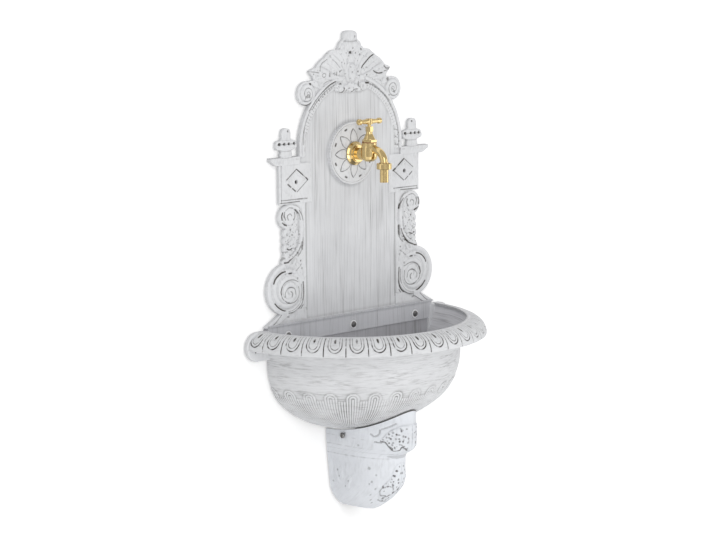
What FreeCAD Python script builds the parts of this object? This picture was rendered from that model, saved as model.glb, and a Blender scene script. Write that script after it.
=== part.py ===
"""Wall-hung garden fountain: cast back panel, half-round basin, hollow console, brass tap and waste.

The origin lies midway between the two wall screws, on the wall. X runs to the right, Z up,
and the front faces -Y. All sizes are millimetres.
"""

import FreeCAD, Part
import math
import os

# Panel: plate, blocks and caps
WALL_SCREW_SPACING = 240.0
WALL_SCREW_HOLE_R = 3.0
PLATE_T = 5.0
BLOCK_T = 7.5
BLOCK_HALF_W = 155.0
BLOCK_INNER_X = 97.0
BLOCK_TOP_Z = 28.0
BLOCK_BOTTOM_Z = -33.5
BLOCK_BEAD_W = 5.0
LOZENGE_HALF_W = 22.5
LOZENGE_HALF_H = 19.5
LOZENGE_RIM_W = 4.0
LOZENGE_RIM_H = 1.5
CAP_H = 13.0
CAP_OVERHANG = 20.0
CAP_T = 9.5

# Panel: arch
ARCH_CENTRE_Z = 51.0
ARCH_R = 113.5
ARCH_BAND_W = 19.0
ARCH_BEAD_W = 5.0
ARCH_T = 9.2
ARCH_INNER_T = 7.2

# Panel: side scrolls
COLUMN_INNER_X = 101.0
COLUMN_OUTER_X = 148.0
UPPER_VOLUTE_X = 138.0
UPPER_VOLUTE_Z = -54.0
UPPER_VOLUTE_R = 19.5
LEAF_LOBE_R = 9.0
LEAF_LOBE_Z = (-80.0, -94.0, -108.0)
BALL_X = 141.0
BALL_Z = -126.0
BALL_R = 11.0
LOWER_VOLUTE_X = 143.0
LOWER_VOLUTE_Z = -168.0
LOWER_VOLUTE_R = 41.0
SPIRAL_RIDGE_W = 3.4
SPIRAL_RIDGE_H = 2.2
SPIRAL_INSET = 1.4
VOLUTE_T = 7.0
CURL_HALF_W = 37.0
CURL_HALF_H = 44.0
CURL_BAND_W = 7.0

# Panel: foot and the flange inside the basin
FOOT_Z = -225.0
FOOT_HALF_W = 190.0
FOOT_NECK_Z = -203.0
FOOT_NECK_HALF_W = 156.0
FOOT_T = 9.5
FOOT_BORDER_W = 12.0
FOOT_BORDER_T = 8.2
FLANGE_BOTTOM_Z = -253.0
FLANGE_HALF_W_TOP = 184.0
FLANGE_HALF_W_BOTTOM = 176.0
FLANGE_T = 4.0

# Panel: crest, finials and rosette
CREST_VOLUTE_X = 94.5
CREST_VOLUTE_Z = 138.0
CREST_VOLUTE_R = 19.0
CREST_T = 6.5
CREST_LEAF_T = 9.0
KNOB_TOP_Z = 234.0
KNOB_HALF_W = 15.5
CARTOUCHE_Z = 167.0
CARTOUCHE_HALF_W = 9.0
CARTOUCHE_HALF_H = 13.0
CARTOUCHE_T = 12.5
FINIAL_X = 139.5
FINIAL_NECK_R = 12.5
FINIAL_RING_R = 21.5
FINIAL_TIP_Z = 86.0
FINIAL_T = 8.0
ROSETTE_Z = 38.0
ROSETTE_R = 50.0
ROSETTE_FACE_R = 46.0
ROSETTE_T = 15.5
ROSETTE_SKIN_T = 4.0
ROSETTE_PETALS = 8
PETAL_TIP_R = 41.5
PETAL_ROOT_R = 22.0
PETAL_W = 11.0
PETAL_H = 1.6

# Basin
BASIN_WALL_T = 4.5
BASIN_R = 180.0
BASIN_BOWL_DEPTH = 125.0
BASIN_BOWL_Z = -285.0
BASIN_SIDE_R = 95.0
BASIN_NECK_Z = -277.0
BASIN_BACK_T = 4.0
RIM_GAP = 4.0
RIM_TOP_Z = FOOT_Z - RIM_GAP
RIM_BACK_STRIP_H = 12.0
RIM_INNER_R = 193.5
RIM_EDGE_R = 223.5
RIM_DROP = 25.5
RIM_EDGE_H = 2.0
RIM_SKIN_T = 4.5
EAR_X = 203.5
EAR_DROP = 23.5
EAR_R = 23.5
EAR_T = 8.0

# Carving: eggs in U-shaped channels on the rim, arched tongues and ribs under the bowl
RIM_EGGS = 20
RIM_CARVE_DEPTH = 2.0
RIM_CARVE_DEG = (80.0, 7.0)
EGG_HALF_W = 6.0
EGG_CHANNEL_W = 3.4
EGG_ROUND_DROP = 3.0
DART_LINE_W = 1.4
TONGUES = 15
TONGUE_H = 1.2
TONGUE_ARCH_Z = -335.0
TONGUE_HALF_DEG = 3.5
TONGUE_SLOT_HALF_DEG = 1.0
TONGUE_TIP_R = 70.0
RIB_HALF_DEG = 0.55
RIB_TOP_Z = -339.0

# Screws through the flange into the basin's back wall
PANEL_SCREW_SPACING = 142.0
PANEL_SCREW_Z = -241.5
PANEL_SCREW_R = 2.5
PANEL_SCREW_HEAD_R = 5.0
PANEL_SCREW_HEAD_H = 3.0
PANEL_WASHER_R = 7.0
PANEL_WASHER_T = 1.2
SCREW_CLEARANCE = 0.3
THREAD_CLEARANCE = 0.05
SLOT_W = 1.2
SLOT_DEPTH = 1.4

# Console: each row is height, half width at the wall, reach from the wall
CONSOLE_SECTIONS = (
    (-365.0, 55.5, 144.0),
    (-404.0, 55.0, 144.0),
    (-424.0, 54.5, 143.0),
    (-433.0, 53.8, 136.0),
    (-441.0, 53.0, 122.0),
    (-449.0, 52.2, 119.5),
    (-480.0, 49.0, 119.5),
    (-494.0, 47.5, 115.0),
    (-506.0, 46.0, 104.0),
    (-517.0, 41.5, 93.0),
    (-527.0, 34.5, 82.0),
    (-535.0, 26.5, 70.0),
    (-541.0, 18.0, 58.0),
)
CONSOLE_WALL_T = 4.0
CONSOLE_TOP_GAP = 2.7
CONSOLE_MOUTH_R = 21.0
CONSOLE_SCREW_Y = -38.0
CONSOLE_SCREW_Z = -413.0
CONSOLE_SCREW_R = 2.5
CONSOLE_SCREW_HEAD_R = 4.8
CONSOLE_SCREW_HEAD_H = 2.6
CONSOLE_PAD_R = 6.5
CONSOLE_PAD_H = 1.0
LUG_W = 16.0
LUG_T = 9.0
LUG_DROP = 9.0
LUG_GAP = 0.3

# Waste in the basin's floor
WASTE_Y = -40.0
WASTE_FLANGE_R = 23.0
WASTE_FLANGE_T = 2.0
WASTE_SEAT_R = 27.0
WASTE_SEAT_Z = -403.0
WASTE_SEAT_T = 7.5
WASTE_TAIL_R = 13.2
WASTE_BORE_R = 10.8
WASTE_HOLE_CLEARANCE = 0.4
WASTE_TAIL_END_Z = -470.0
WASTE_TAIL_FREE_L = 45.0
WASTE_GROOVE_W = 2.0
WASTE_GASKET_T = 2.0
WASTE_NUT_R = 18.0
WASTE_NUT_H = 8.0
WASTE_SLOTS = 6
WASTE_SLOT_R = 2.2
WASTE_SLOT_CIRCLE_R = 6.5

# Tap: the inlet runs along Y at the rosette's centre, the spindle and the outlet are upright
TAIL_R = 10.48
TAIL_END_Y = -0.5
TAIL_FREE_L = 3.2
TAIL_GROOVE_W = 2.0
GROOVE_DEPTH = 0.4
INLET_BORE_R = 5.4
INLET_BORE_END_Y = -33.0
INLET_PORT_R = 3.0
INLET_PORT_DROP = 4.0
TAP_HOLE_CLEARANCE = 0.4
BACKNUT_R = 15.0
BACKNUT_T = 4.5
BACK_WASHER_R = 16.0
BACK_WASHER_T = 1.2
POCKET_R = 42.0
ESCUTCHEON_R = 19.0
ESCUTCHEON_H = 6.0
TAP_COLLAR_R = 13.0
TAP_COLLAR_T = 4.0
NECK_R = 9.5
SPINDLE_Y = -48.5
GLOBE_R = 13.2
GLOBE_BOTTOM_DROP = 10.5
TAP_MOUTH_RISE = 19.0
TAP_MOUTH_R = 12.0
CHAMBER_R = 8.6
SEAT_RISE = 3.0
SEAT_HOLE_R = 5.0
SEAT_LAND_T = 2.5
CHAMBER_FLOOR_DROP = 6.5
SPOUT_R = 6.2
SPOUT_BORE_R = 4.2
SPOUT_SLOPE_DEG = 17.0
SPOUT_BEND_R = 20.0
OUTLET_Y = -82.0
OUTLET_THREAD_R = 9.6
OUTLET_THREAD_H = 4.0
OUTLET_FACE_DROP = 16.0

# Bonnet, gland and spindle; rises are measured from the tap's mouth
BONNET_FLANGE_ACROSS_FLATS = 21.0
BONNET_FLANGE_H = 4.0
BONNET_WASHER_T = 1.0
BONNET_THREAD_H = 6.0
BONNET_WAIST_RISE = 9.0
BONNET_WAIST_R = 7.6
BONNET_NECK_R = 5.6
BONNET_TOP_RISE = 20.0
GLAND_BORE_R = 4.6
GLAND_BORE_DEPTH = 4.0
GLAND_NUT_R = 6.4
GLAND_NUT_H = 5.0
GLAND_NUT_SKIRT_H = 3.5
GLAND_THREAD_R = 5.2
SPINDLE_R = 3.0
SPINDLE_THREAD_R = 4.6
SPINDLE_THREAD_L = 8.0
RUNNING_CLEARANCE = 0.05
PACKING_T = 3.0
SPINDLE_TRAVEL = 5.08
TRAVEL_ROOM = 1.2

# Valve under the spindle
VALVE_DISC_R = 6.8
VALVE_DISC_T = 2.2
VALVE_WASHER_T = 2.4
VALVE_STEM_R = 1.8
VALVE_STEM_L = 6.0
VALVE_STEM_CLEARANCE = 0.08
WASHER_NUT_R = 2.8
WASHER_NUT_T = 1.6

# Handle
HANDLE_LENGTH = 51.0
HANDLE_R = 4.2
HANDLE_KNOB_R = 4.8
HANDLE_HUB_R = 5.4
HANDLE_HUB_H = 9.0
HANDLE_RISE = 3.4
HANDLE_SCREW_R = 1.5
HANDLE_SCREW_HEAD_R = 2.8
HANDLE_SCREW_HEAD_H = 1.6
HANDLE_SCREW_L = 6.0

# Union nut and nozzle
UNION_NUT_R = 12.2
UNION_NUT_H = 9.6
UNION_NUT_LIP_T = 1.8
NOZZLE_R = 7.0
NOZZLE_BORE_R = 5.0
NOZZLE_COLLAR_R = 9.2
NOZZLE_COLLAR_T = 1.8
NOZZLE_DROP = 22.6
NOZZLE_FREE_L = 20.4
NOZZLE_WASHER_T = 1.6

# Longer than any part of the basin
SPAN = 3 * RIM_INNER_R

PARTS = {}


def vec(x, y, z):
    return FreeCAD.Vector(x, y, z)


def both_sides(shape):
    """The shape and its mirror image across the middle plane."""
    return [shape, shape.mirror(vec(0, 0, 0), vec(1, 0, 0))]


def fused(shapes):
    """One solid from several overlapping ones."""
    first, rest = shapes[0], shapes[1:]
    joined = first.multiFuse(rest) if rest else first
    return joined.removeSplitter()


def relief(outline, front, back=0.0):
    """A flat outline in X and Z, given as a closed list of points, as thick as front minus back."""
    points = [vec(x, -back, z) for x, z in outline]
    face = Part.Face(Part.makePolygon(points + points[:1]))
    return face.extrude(vec(0, back - front, 0))


def relief_disc(x, z, radius, front, back=0.0):
    return Part.makeCylinder(radius, front - back, vec(x, -back, z), vec(0, -1, 0))


def relief_oval(x, z, half_w, half_h, front, back=0.0):
    if half_w >= half_h:
        oval = Part.Ellipse(vec(x + half_w, -back, z), vec(x, -back, z + half_h), vec(x, -back, z))
    else:
        oval = Part.Ellipse(vec(x, -back, z + half_h), vec(x - half_w, -back, z), vec(x, -back, z))
    face = Part.Face(Part.Wire(oval.toShape()))
    return face.extrude(vec(0, back - front, 0))


def relief_band(centre_x, centre_z, radius, width, start_deg, end_deg, front, back=0.0):
    """A curved band from start to end, measured anticlockwise from +X as seen from the front."""
    outer = arc_points(centre_x, centre_z, radius, start_deg, end_deg)
    inner = arc_points(centre_x, centre_z, radius - width, start_deg, end_deg)
    edges = [
        Part.Arc(*[vec(x, -back, z) for x, z in outer]).toShape(),
        Part.makeLine(vec(outer[2][0], -back, outer[2][1]), vec(inner[2][0], -back, inner[2][1])),
        Part.Arc(*[vec(x, -back, z) for x, z in reversed(inner)]).toShape(),
        Part.makeLine(vec(inner[0][0], -back, inner[0][1]), vec(outer[0][0], -back, outer[0][1])),
    ]
    face = Part.Face(Part.Wire(edges))
    return face.extrude(vec(0, back - front, 0))


def arc_points(centre_x, centre_z, radius, start_deg, end_deg):
    angles = [math.radians(a) for a in (start_deg, (start_deg + end_deg) / 2, end_deg)]
    return [(centre_x + radius * math.cos(a), centre_z + radius * math.sin(a)) for a in angles]


def spiral(x, z, radius, turns_half, front, back, sense):
    """A scroll's raised ridge, made of half rings that shrink inwards around two centres."""
    reach = radius - SPIRAL_INSET
    step = (reach - SPIRAL_RIDGE_W) / (turns_half + 1)
    ridge = []
    side = 0
    centre = x
    for _ in range(turns_half):
        start = 0 if side == 0 else 180
        ridge.append(relief_band(centre, z, reach, SPIRAL_RIDGE_W, start, start + 180, front, back))
        reach -= step / 2
        centre += (step / 2) * sense * (-1 if side == 0 else 1)
        side = 1 - side
    ridge.append(relief_disc(centre, z, SPIRAL_RIDGE_W, front, back))
    return ridge


def turned(points, x, y, z, axis=(0, 0, 1)):
    """A turned solid: each point is radius and height along the axis from the place given."""
    wire = Part.makePolygon([vec(r, 0, h) for r, h in points] + [vec(points[0][0], 0, points[0][1])])
    solid = Part.Face(wire).revolve(vec(0, 0, 0), vec(0, 0, 1), 360)
    solid.Placement = FreeCAD.Placement(vec(x, y, z), FreeCAD.Rotation(vec(0, 0, 1), vec(*axis)))
    return solid


def hexagon(across_flats, height, x, y, z, axis=(0, 0, 1)):
    corner = across_flats / math.sqrt(3)
    points = [vec(corner * math.cos(math.radians(60 * i)), corner * math.sin(math.radians(60 * i)), 0)
              for i in range(6)]
    solid = Part.Face(Part.makePolygon(points + points[:1])).extrude(vec(0, 0, height))
    solid.Placement = FreeCAD.Placement(vec(x, y, z), FreeCAD.Rotation(vec(0, 0, 1), vec(*axis)))
    return solid


def rod(radius, length, x, y, z, axis=(0, 0, 1)):
    return Part.makeCylinder(radius, length, vec(x, y, z), vec(*axis))


def bowl_arcs(grow):
    """The bowl's section below its widest line: a side arc that runs into a flatter bottom arc."""
    side_x = BASIN_R - BASIN_SIDE_R
    level = BASIN_BOWL_DEPTH - BASIN_SIDE_R
    rise = (side_x ** 2 - level ** 2) / (2 * level)
    bottom_r = BASIN_BOWL_DEPTH + rise
    meet = math.atan2(rise, side_x)
    side_r = BASIN_SIDE_R + grow
    bottom_r += grow

    def on_side(angle):
        return vec(side_x + side_r * math.cos(angle), 0, BASIN_BOWL_Z - side_r * math.sin(angle))

    def on_bottom(angle):
        return vec(bottom_r * math.cos(angle), 0, BASIN_BOWL_Z + rise - bottom_r * math.sin(angle))

    right = math.pi / 2
    side = Part.Arc(on_side(0), on_side(meet / 2), on_side(meet)).toShape()
    bottom = Part.Arc(on_side(meet), on_bottom((meet + right) / 2), on_bottom(right)).toShape()
    return side, bottom


def half_turn(face):
    """Half a turn about the upright axis on the wall, in front of the wall."""
    return face.revolve(vec(0, 0, 0), vec(0, 0, 1), -180)


# Back panel


def block_top():
    return BLOCK_TOP_Z + CAP_H


def panel_plate():
    shapes = [
        relief([(-COLUMN_INNER_X - 5, FOOT_Z), (COLUMN_INNER_X + 5, FOOT_Z),
                (COLUMN_INNER_X + 5, block_top()), (-COLUMN_INNER_X - 5, block_top())], PLATE_T),
        relief([(-ARCH_R, BLOCK_BOTTOM_Z), (ARCH_R, BLOCK_BOTTOM_Z),
                (ARCH_R, ARCH_CENTRE_Z), (-ARCH_R, ARCH_CENTRE_Z)], PLATE_T),
        relief_disc(0, ARCH_CENTRE_Z, ARCH_R, PLATE_T),
    ]
    column = relief([(COLUMN_INNER_X, FOOT_NECK_Z), (COLUMN_OUTER_X - 6, FOOT_NECK_Z),
                     (COLUMN_OUTER_X - 6, BLOCK_BOTTOM_Z), (COLUMN_INNER_X, BLOCK_BOTTOM_Z)], PLATE_T)
    shapes += both_sides(column)
    return shapes


def side_blocks():
    edge = BLOCK_HALF_W - BLOCK_BEAD_W
    body = relief([(BLOCK_INNER_X, BLOCK_BOTTOM_Z), (BLOCK_HALF_W, BLOCK_BOTTOM_Z),
                   (BLOCK_HALF_W, BLOCK_TOP_Z), (BLOCK_INNER_X, BLOCK_TOP_Z)], PLATE_T)
    face = relief([(BLOCK_INNER_X, BLOCK_BOTTOM_Z + BLOCK_BEAD_W), (edge, BLOCK_BOTTOM_Z + BLOCK_BEAD_W),
                   (edge, BLOCK_TOP_Z), (BLOCK_INNER_X, BLOCK_TOP_Z)], BLOCK_T)
    screw_x = WALL_SCREW_SPACING / 2
    rim = lozenge(screw_x, LOZENGE_HALF_W, LOZENGE_HALF_H)
    rim = rim.cut(lozenge(screw_x, LOZENGE_HALF_W - LOZENGE_RIM_W, LOZENGE_HALF_H - LOZENGE_RIM_W))
    cap_end = BLOCK_HALF_W + CAP_OVERHANG
    top = block_top()
    cap = relief([(BLOCK_INNER_X, BLOCK_TOP_Z), (BLOCK_HALF_W + 0.35 * CAP_OVERHANG, BLOCK_TOP_Z),
                  (cap_end, BLOCK_TOP_Z + 0.45 * CAP_H), (cap_end, top), (BLOCK_INNER_X, top)], CAP_T)
    return both_sides(body) + both_sides(face) + both_sides(rim) + both_sides(cap)


def lozenge(x, half_w, half_h):
    front = BLOCK_T + LOZENGE_RIM_H
    return relief([(x + half_w, 0), (x, half_h), (x - half_w, 0), (x, -half_h)], front)


def arch_moulding():
    bead = relief_band(0, ARCH_CENTRE_Z, ARCH_R, ARCH_BEAD_W, 0, 180, ARCH_T)
    band = relief_band(0, ARCH_CENTRE_Z, ARCH_R, ARCH_BAND_W, 0, 180, ARCH_INNER_T)
    inner = ARCH_R - ARCH_BAND_W
    leg = relief([(inner, block_top()), (ARCH_R, block_top()), (ARCH_R, ARCH_CENTRE_Z),
                  (inner, ARCH_CENTRE_Z)], ARCH_INNER_T)
    return [bead, band] + both_sides(leg)


def finials():
    base = block_top()
    ring_z = base + 0.42 * (FINIAL_TIP_Z - base)
    half = [
        (FINIAL_NECK_R, base - 1),
        (FINIAL_NECK_R, base + 9),
        (FINIAL_RING_R, ring_z - 3),
        (FINIAL_RING_R, ring_z + 4),
        (FINIAL_NECK_R, ring_z + 9),
        (0.75 * FINIAL_NECK_R, FINIAL_TIP_Z - 8),
        (0.5 * FINIAL_NECK_R, FINIAL_TIP_Z - 1),
        (0.2 * FINIAL_NECK_R, FINIAL_TIP_Z),
    ]
    outline = [(FINIAL_X + r, z) for r, z in half] + [(FINIAL_X - r, z) for r, z in reversed(half)]
    return both_sides(relief(outline, FINIAL_T))


def side_scrolls():
    front = VOLUTE_T + SPIRAL_RIDGE_H
    right = [
        relief_disc(UPPER_VOLUTE_X, UPPER_VOLUTE_Z, UPPER_VOLUTE_R, VOLUTE_T),
        relief_disc(LOWER_VOLUTE_X, LOWER_VOLUTE_Z, LOWER_VOLUTE_R, VOLUTE_T),
        relief_disc(BALL_X, BALL_Z, BALL_R, VOLUTE_T),
    ]
    right += [relief_disc(COLUMN_OUTER_X - LEAF_LOBE_R, z, LEAF_LOBE_R, VOLUTE_T) for z in LEAF_LOBE_Z]
    right += spiral(UPPER_VOLUTE_X, UPPER_VOLUTE_Z, UPPER_VOLUTE_R, 4, front, 0, 1)
    right += spiral(LOWER_VOLUTE_X, LOWER_VOLUTE_Z, LOWER_VOLUTE_R, 7, front, 0, 1)
    curl_x = COLUMN_OUTER_X - 5
    curl_z = (UPPER_VOLUTE_Z + BALL_Z) / 2 + 8
    curl = relief_oval(curl_x, curl_z, CURL_HALF_W, CURL_HALF_H, VOLUTE_T)
    hollow = relief_oval(curl_x, curl_z, CURL_HALF_W - CURL_BAND_W, CURL_HALF_H - CURL_BAND_W, VOLUTE_T)
    keep = relief([(COLUMN_INNER_X, BALL_Z), (curl_x, BALL_Z), (curl_x, UPPER_VOLUTE_Z + 14),
                   (COLUMN_INNER_X, UPPER_VOLUTE_Z + 14)], VOLUTE_T)
    right.append(curl.cut(hollow).common(keep))
    mirrored = [shape.mirror(vec(0, 0, 0), vec(1, 0, 0)) for shape in right]
    return right + mirrored


def foot():
    """The spreading foot with a raised border, and the flange that drops inside the basin."""
    plate = relief([(-FOOT_NECK_HALF_W, FOOT_NECK_Z), (-FOOT_HALF_W, FOOT_Z), (FOOT_HALF_W, FOOT_Z),
                    (FOOT_NECK_HALF_W, FOOT_NECK_Z)], PLATE_T)
    border_foot = FOOT_HALF_W - 1.6 * FOOT_BORDER_W
    border = relief([(FOOT_NECK_HALF_W - FOOT_BORDER_W, FOOT_NECK_Z), (border_foot, FOOT_Z),
                     (FOOT_HALF_W, FOOT_Z), (FOOT_NECK_HALF_W, FOOT_NECK_Z)], FOOT_BORDER_T)
    sill = relief([(-FLANGE_HALF_W_TOP, FOOT_Z), (FLANGE_HALF_W_TOP, FOOT_Z),
                   (FLANGE_HALF_W_TOP - 3, FOOT_Z + 3), (3 - FLANGE_HALF_W_TOP, FOOT_Z + 3)], FOOT_T)
    front = BASIN_BACK_T + FLANGE_T
    flange = relief([(-FLANGE_HALF_W_BOTTOM, FLANGE_BOTTOM_Z), (FLANGE_HALF_W_BOTTOM, FLANGE_BOTTOM_Z),
                     (FLANGE_HALF_W_TOP, FOOT_Z + 1), (-FLANGE_HALF_W_TOP, FOOT_Z + 1)], front, BASIN_BACK_T)
    return [plate, sill, flange] + both_sides(border)


def crest():
    """Outline of leaves that rises from the arch to a knob, with volutes at its ends."""
    top = KNOB_TOP_Z
    half = [
        (0, top), (9, top - 1.5), (KNOB_HALF_W, top - 7), (KNOB_HALF_W, top - 13), (KNOB_HALF_W + 5, top - 17),
        (26, 207), (29, 203.5), (43, 203), (57, 193), (65, 188), (72, 182), (77, 177.5), (90.5, 172.5),
        (85, 165), (78, 160), (76, 150), (80, ARCH_CENTRE_Z + 62), (60, ARCH_CENTRE_Z + 60),
    ]
    outline = half + [(-x, z) for x, z in reversed(half[1:])]
    volutes = both_sides(relief_disc(CREST_VOLUTE_X, CREST_VOLUTE_Z, CREST_VOLUTE_R, VOLUTE_T))
    ridges = []
    for shape in spiral(CREST_VOLUTE_X, CREST_VOLUTE_Z, CREST_VOLUTE_R, 4, VOLUTE_T + SPIRAL_RIDGE_H, 0, 1):
        ridges += both_sides(shape)
    inner_leaf = relief([(10, 166), (24, 178), (50, 192), (40, 200), (24, 201), (12, 190)], CREST_LEAF_T)
    outer_leaf = relief([(26, 164), (52, 165), (74, 164), (84, 171), (72, 178), (54, 188), (38, 180)],
                        CREST_LEAF_T)
    drop_curl = relief_disc(25, 143, 10, CREST_LEAF_T)
    spine = relief([(-10, 150), (10, 150), (12, 190), (9, 218), (-9, 218), (-12, 190)], CREST_LEAF_T)
    boss = relief_oval(0, CARTOUCHE_Z, CARTOUCHE_HALF_W, CARTOUCHE_HALF_H, CARTOUCHE_T)
    shapes = [relief(outline, CREST_T), spine, boss]
    return shapes + volutes + ridges + both_sides(inner_leaf) + both_sides(outer_leaf) + both_sides(drop_curl)


def rosette():
    disc = Part.makeCone(ROSETTE_R, ROSETTE_FACE_R, ROSETTE_T, vec(0, 0, ROSETTE_Z), vec(0, -1, 0))
    shapes = [disc]
    for i in range(ROSETTE_PETALS):
        middle_r = (PETAL_TIP_R + PETAL_ROOT_R) / 2
        root_w = 0.3 * PETAL_W
        petal = relief([(PETAL_TIP_R, 0), (middle_r, PETAL_W / 2), (PETAL_ROOT_R, root_w),
                        (PETAL_ROOT_R, -root_w), (middle_r, -PETAL_W / 2)], ROSETTE_T + PETAL_H)
        petal.rotate(vec(0, 0, 0), vec(0, 1, 0), 360.0 / ROSETTE_PETALS * i)
        petal.translate(vec(0, 0, ROSETTE_Z))
        shapes.append(petal)
    return shapes


def rosette_hollow():
    """The pocket behind the rosette and the hole for the tap's tail."""
    pocket_r = min(POCKET_R, ROSETTE_FACE_R - 2.0)
    pocket = rod(pocket_r, ROSETTE_T - ROSETTE_SKIN_T, 0, 0, ROSETTE_Z, (0, -1, 0))
    hole = rod(TAIL_R + TAP_HOLE_CLEARANCE, ROSETTE_T + 2 * PETAL_H, 0, 0, ROSETTE_Z, (0, -1, 0))
    return pocket.fuse(hole)


def panel_screw_places():
    return [-PANEL_SCREW_SPACING, 0.0, PANEL_SCREW_SPACING]


def back_panel():
    body = fused(panel_plate() + side_blocks() + arch_moulding() + finials() + side_scrolls() + foot()
                 + crest() + rosette())
    holes = [rosette_hollow()]
    for x in (-WALL_SCREW_SPACING / 2, WALL_SCREW_SPACING / 2):
        holes.append(rod(WALL_SCREW_HOLE_R, BLOCK_T + 5, x, 1, 0, (0, -1, 0)))
    for x in panel_screw_places():
        holes.append(rod(PANEL_SCREW_R + SCREW_CLEARANCE, FLANGE_T + 2, x, 1 - BASIN_BACK_T, PANEL_SCREW_Z,
                         (0, -1, 0)))
    return body.cut(holes[0].multiFuse(holes[1:]))


# Basin


def bowl_region(grow):
    """Right half of the bowl's section, filled up to the rim, grown outwards by grow."""
    side, bottom = bowl_arcs(grow)
    flare = RIM_INNER_R + BASIN_WALL_T
    corners = [bottom.Vertexes[-1].Point, vec(0, 0, RIM_TOP_Z), vec(flare + grow, 0, RIM_TOP_Z),
               vec(flare + grow, 0, RIM_TOP_Z - RIM_SKIN_T), vec(BASIN_R + grow, 0, BASIN_NECK_Z),
               side.Vertexes[0].Point]
    edges = [side, bottom] + [Part.makeLine(a, b) for a, b in zip(corners, corners[1:])]
    return Part.Face(Part.Wire(edges))


def rim_point(angle, shrink):
    """A point on the rim's rounded face: angle 90 degrees is its lip and 0 its outer edge."""
    reach = RIM_EDGE_R - RIM_INNER_R - shrink
    return vec(RIM_INNER_R + reach * math.cos(angle), 0,
               RIM_TOP_Z - RIM_DROP + (RIM_DROP - shrink) * math.sin(angle))


def rim_region(shrink):
    """Section of the rim: a quarter round that falls from the lip to its outer edge."""
    lip, middle, edge = [rim_point(math.radians(a), shrink) for a in (90, 45, 0)]
    inner = BASIN_R - BASIN_WALL_T
    low = RIM_TOP_Z - RIM_DROP - RIM_EDGE_H
    corners = [edge, vec(edge.x, 0, low), vec(inner, 0, low), vec(inner, 0, lip.z), lip]
    edges = [Part.Arc(lip, middle, edge).toShape()]
    edges += [Part.makeLine(a, b) for a, b in zip(corners, corners[1:])]
    return Part.Face(Part.Wire(edges))


def rim_skin(depth):
    """The carved part of the rim's face, from just above the face to a depth below it."""
    start, end = [math.radians(a) for a in RIM_CARVE_DEG]
    outer = [rim_point(a, -1.0) for a in (start, (start + end) / 2, end)]
    inner = [rim_point(a, depth) for a in (end, (start + end) / 2, start)]
    edges = [Part.Arc(*outer).toShape(), Part.makeLine(outer[-1], inner[0]),
             Part.Arc(*inner).toShape(), Part.makeLine(inner[-1], outer[0])]
    return half_turn(Part.Face(Part.Wire(edges)))


def round_ended(half_w, drop, length, thickness):
    """An upright bar whose lower end is round, standing on the plane that it faces, along -Y."""
    low = [vec(-half_w, 0, -drop), vec(0, 0, -drop - half_w), vec(half_w, 0, -drop)]
    high = [vec(half_w, 0, length), vec(-half_w, 0, length)]
    edges = [Part.Arc(*low).toShape(), Part.makeLine(low[2], high[0]), Part.makeLine(high[0], high[1]),
             Part.makeLine(high[1], low[0])]
    return Part.Face(Part.Wire(edges)).extrude(vec(0, -thickness, 0))


def rim_carving():
    """U-shaped channels round the eggs, and a straight line between each two of them."""
    long = 3 * RIM_DROP
    egg = round_ended(EGG_HALF_W, EGG_ROUND_DROP, long, long)
    channel = round_ended(EGG_HALF_W + EGG_CHANNEL_W, EGG_ROUND_DROP, long, long).cut(egg)
    dart = Part.makeBox(DART_LINE_W, long, 2 * long, vec(-DART_LINE_W / 2, -long, -long))
    pitch = 180.0 / RIM_EGGS
    cutters = []
    for i in range(2 * RIM_EGGS - 1):
        cutter = (dart if i % 2 else channel).copy()
        cutter.rotate(vec(0, 0, 0), vec(1, 0, 0), -45)
        cutter.translate(vec(0, -RIM_INNER_R, RIM_TOP_Z - RIM_DROP))
        cutter.rotate(vec(0, 0, 0), vec(0, 0, 1), (i + 1) * pitch / 2 - 90)
        cutters.append(cutter)
    return rim_skin(RIM_CARVE_DEPTH).common(cutters)


def rim_ears():
    """A flat round end against the wall at each end of the rim, which hangs lower than the rim."""
    z = RIM_TOP_Z - EAR_DROP
    inner = BASIN_R - BASIN_WALL_T
    bar = relief([(inner, z - EAR_R), (EAR_X, z - EAR_R), (EAR_X, z + EAR_R), (inner, z + EAR_R)], EAR_T)
    return both_sides(relief_disc(EAR_X, z, EAR_R, EAR_T)) + both_sides(bar)


def wedge(half_deg, top_z):
    """A slice of the bowl on both sides of its front line, from below it up to a height."""
    x, y = SPAN * math.sin(math.radians(half_deg)), -SPAN * math.cos(math.radians(half_deg))
    corners = [vec(0, 0, top_z - SPAN), vec(x, y, top_z - SPAN), vec(-x, y, top_z - SPAN)]
    return Part.Face(Part.makePolygon(corners + corners[:1])).extrude(vec(0, 0, SPAN))


def arched(half_deg):
    """A slice with a round top that follows the bowl's slope."""
    side_x = BASIN_R - BASIN_SIDE_R
    slope = math.asin((BASIN_BOWL_Z - TONGUE_ARCH_Z) / BASIN_SIDE_R)
    reach = side_x + BASIN_SIDE_R * math.cos(slope)
    along = vec(0, -math.cos(slope), -math.sin(slope))
    start = vec(0, -reach, TONGUE_ARCH_Z) - along * BASIN_SIDE_R / 2
    top = Part.makeCylinder(reach * math.tan(math.radians(half_deg)), BASIN_SIDE_R, start, along)
    return wedge(half_deg, TONGUE_ARCH_Z).fuse(top)


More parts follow.
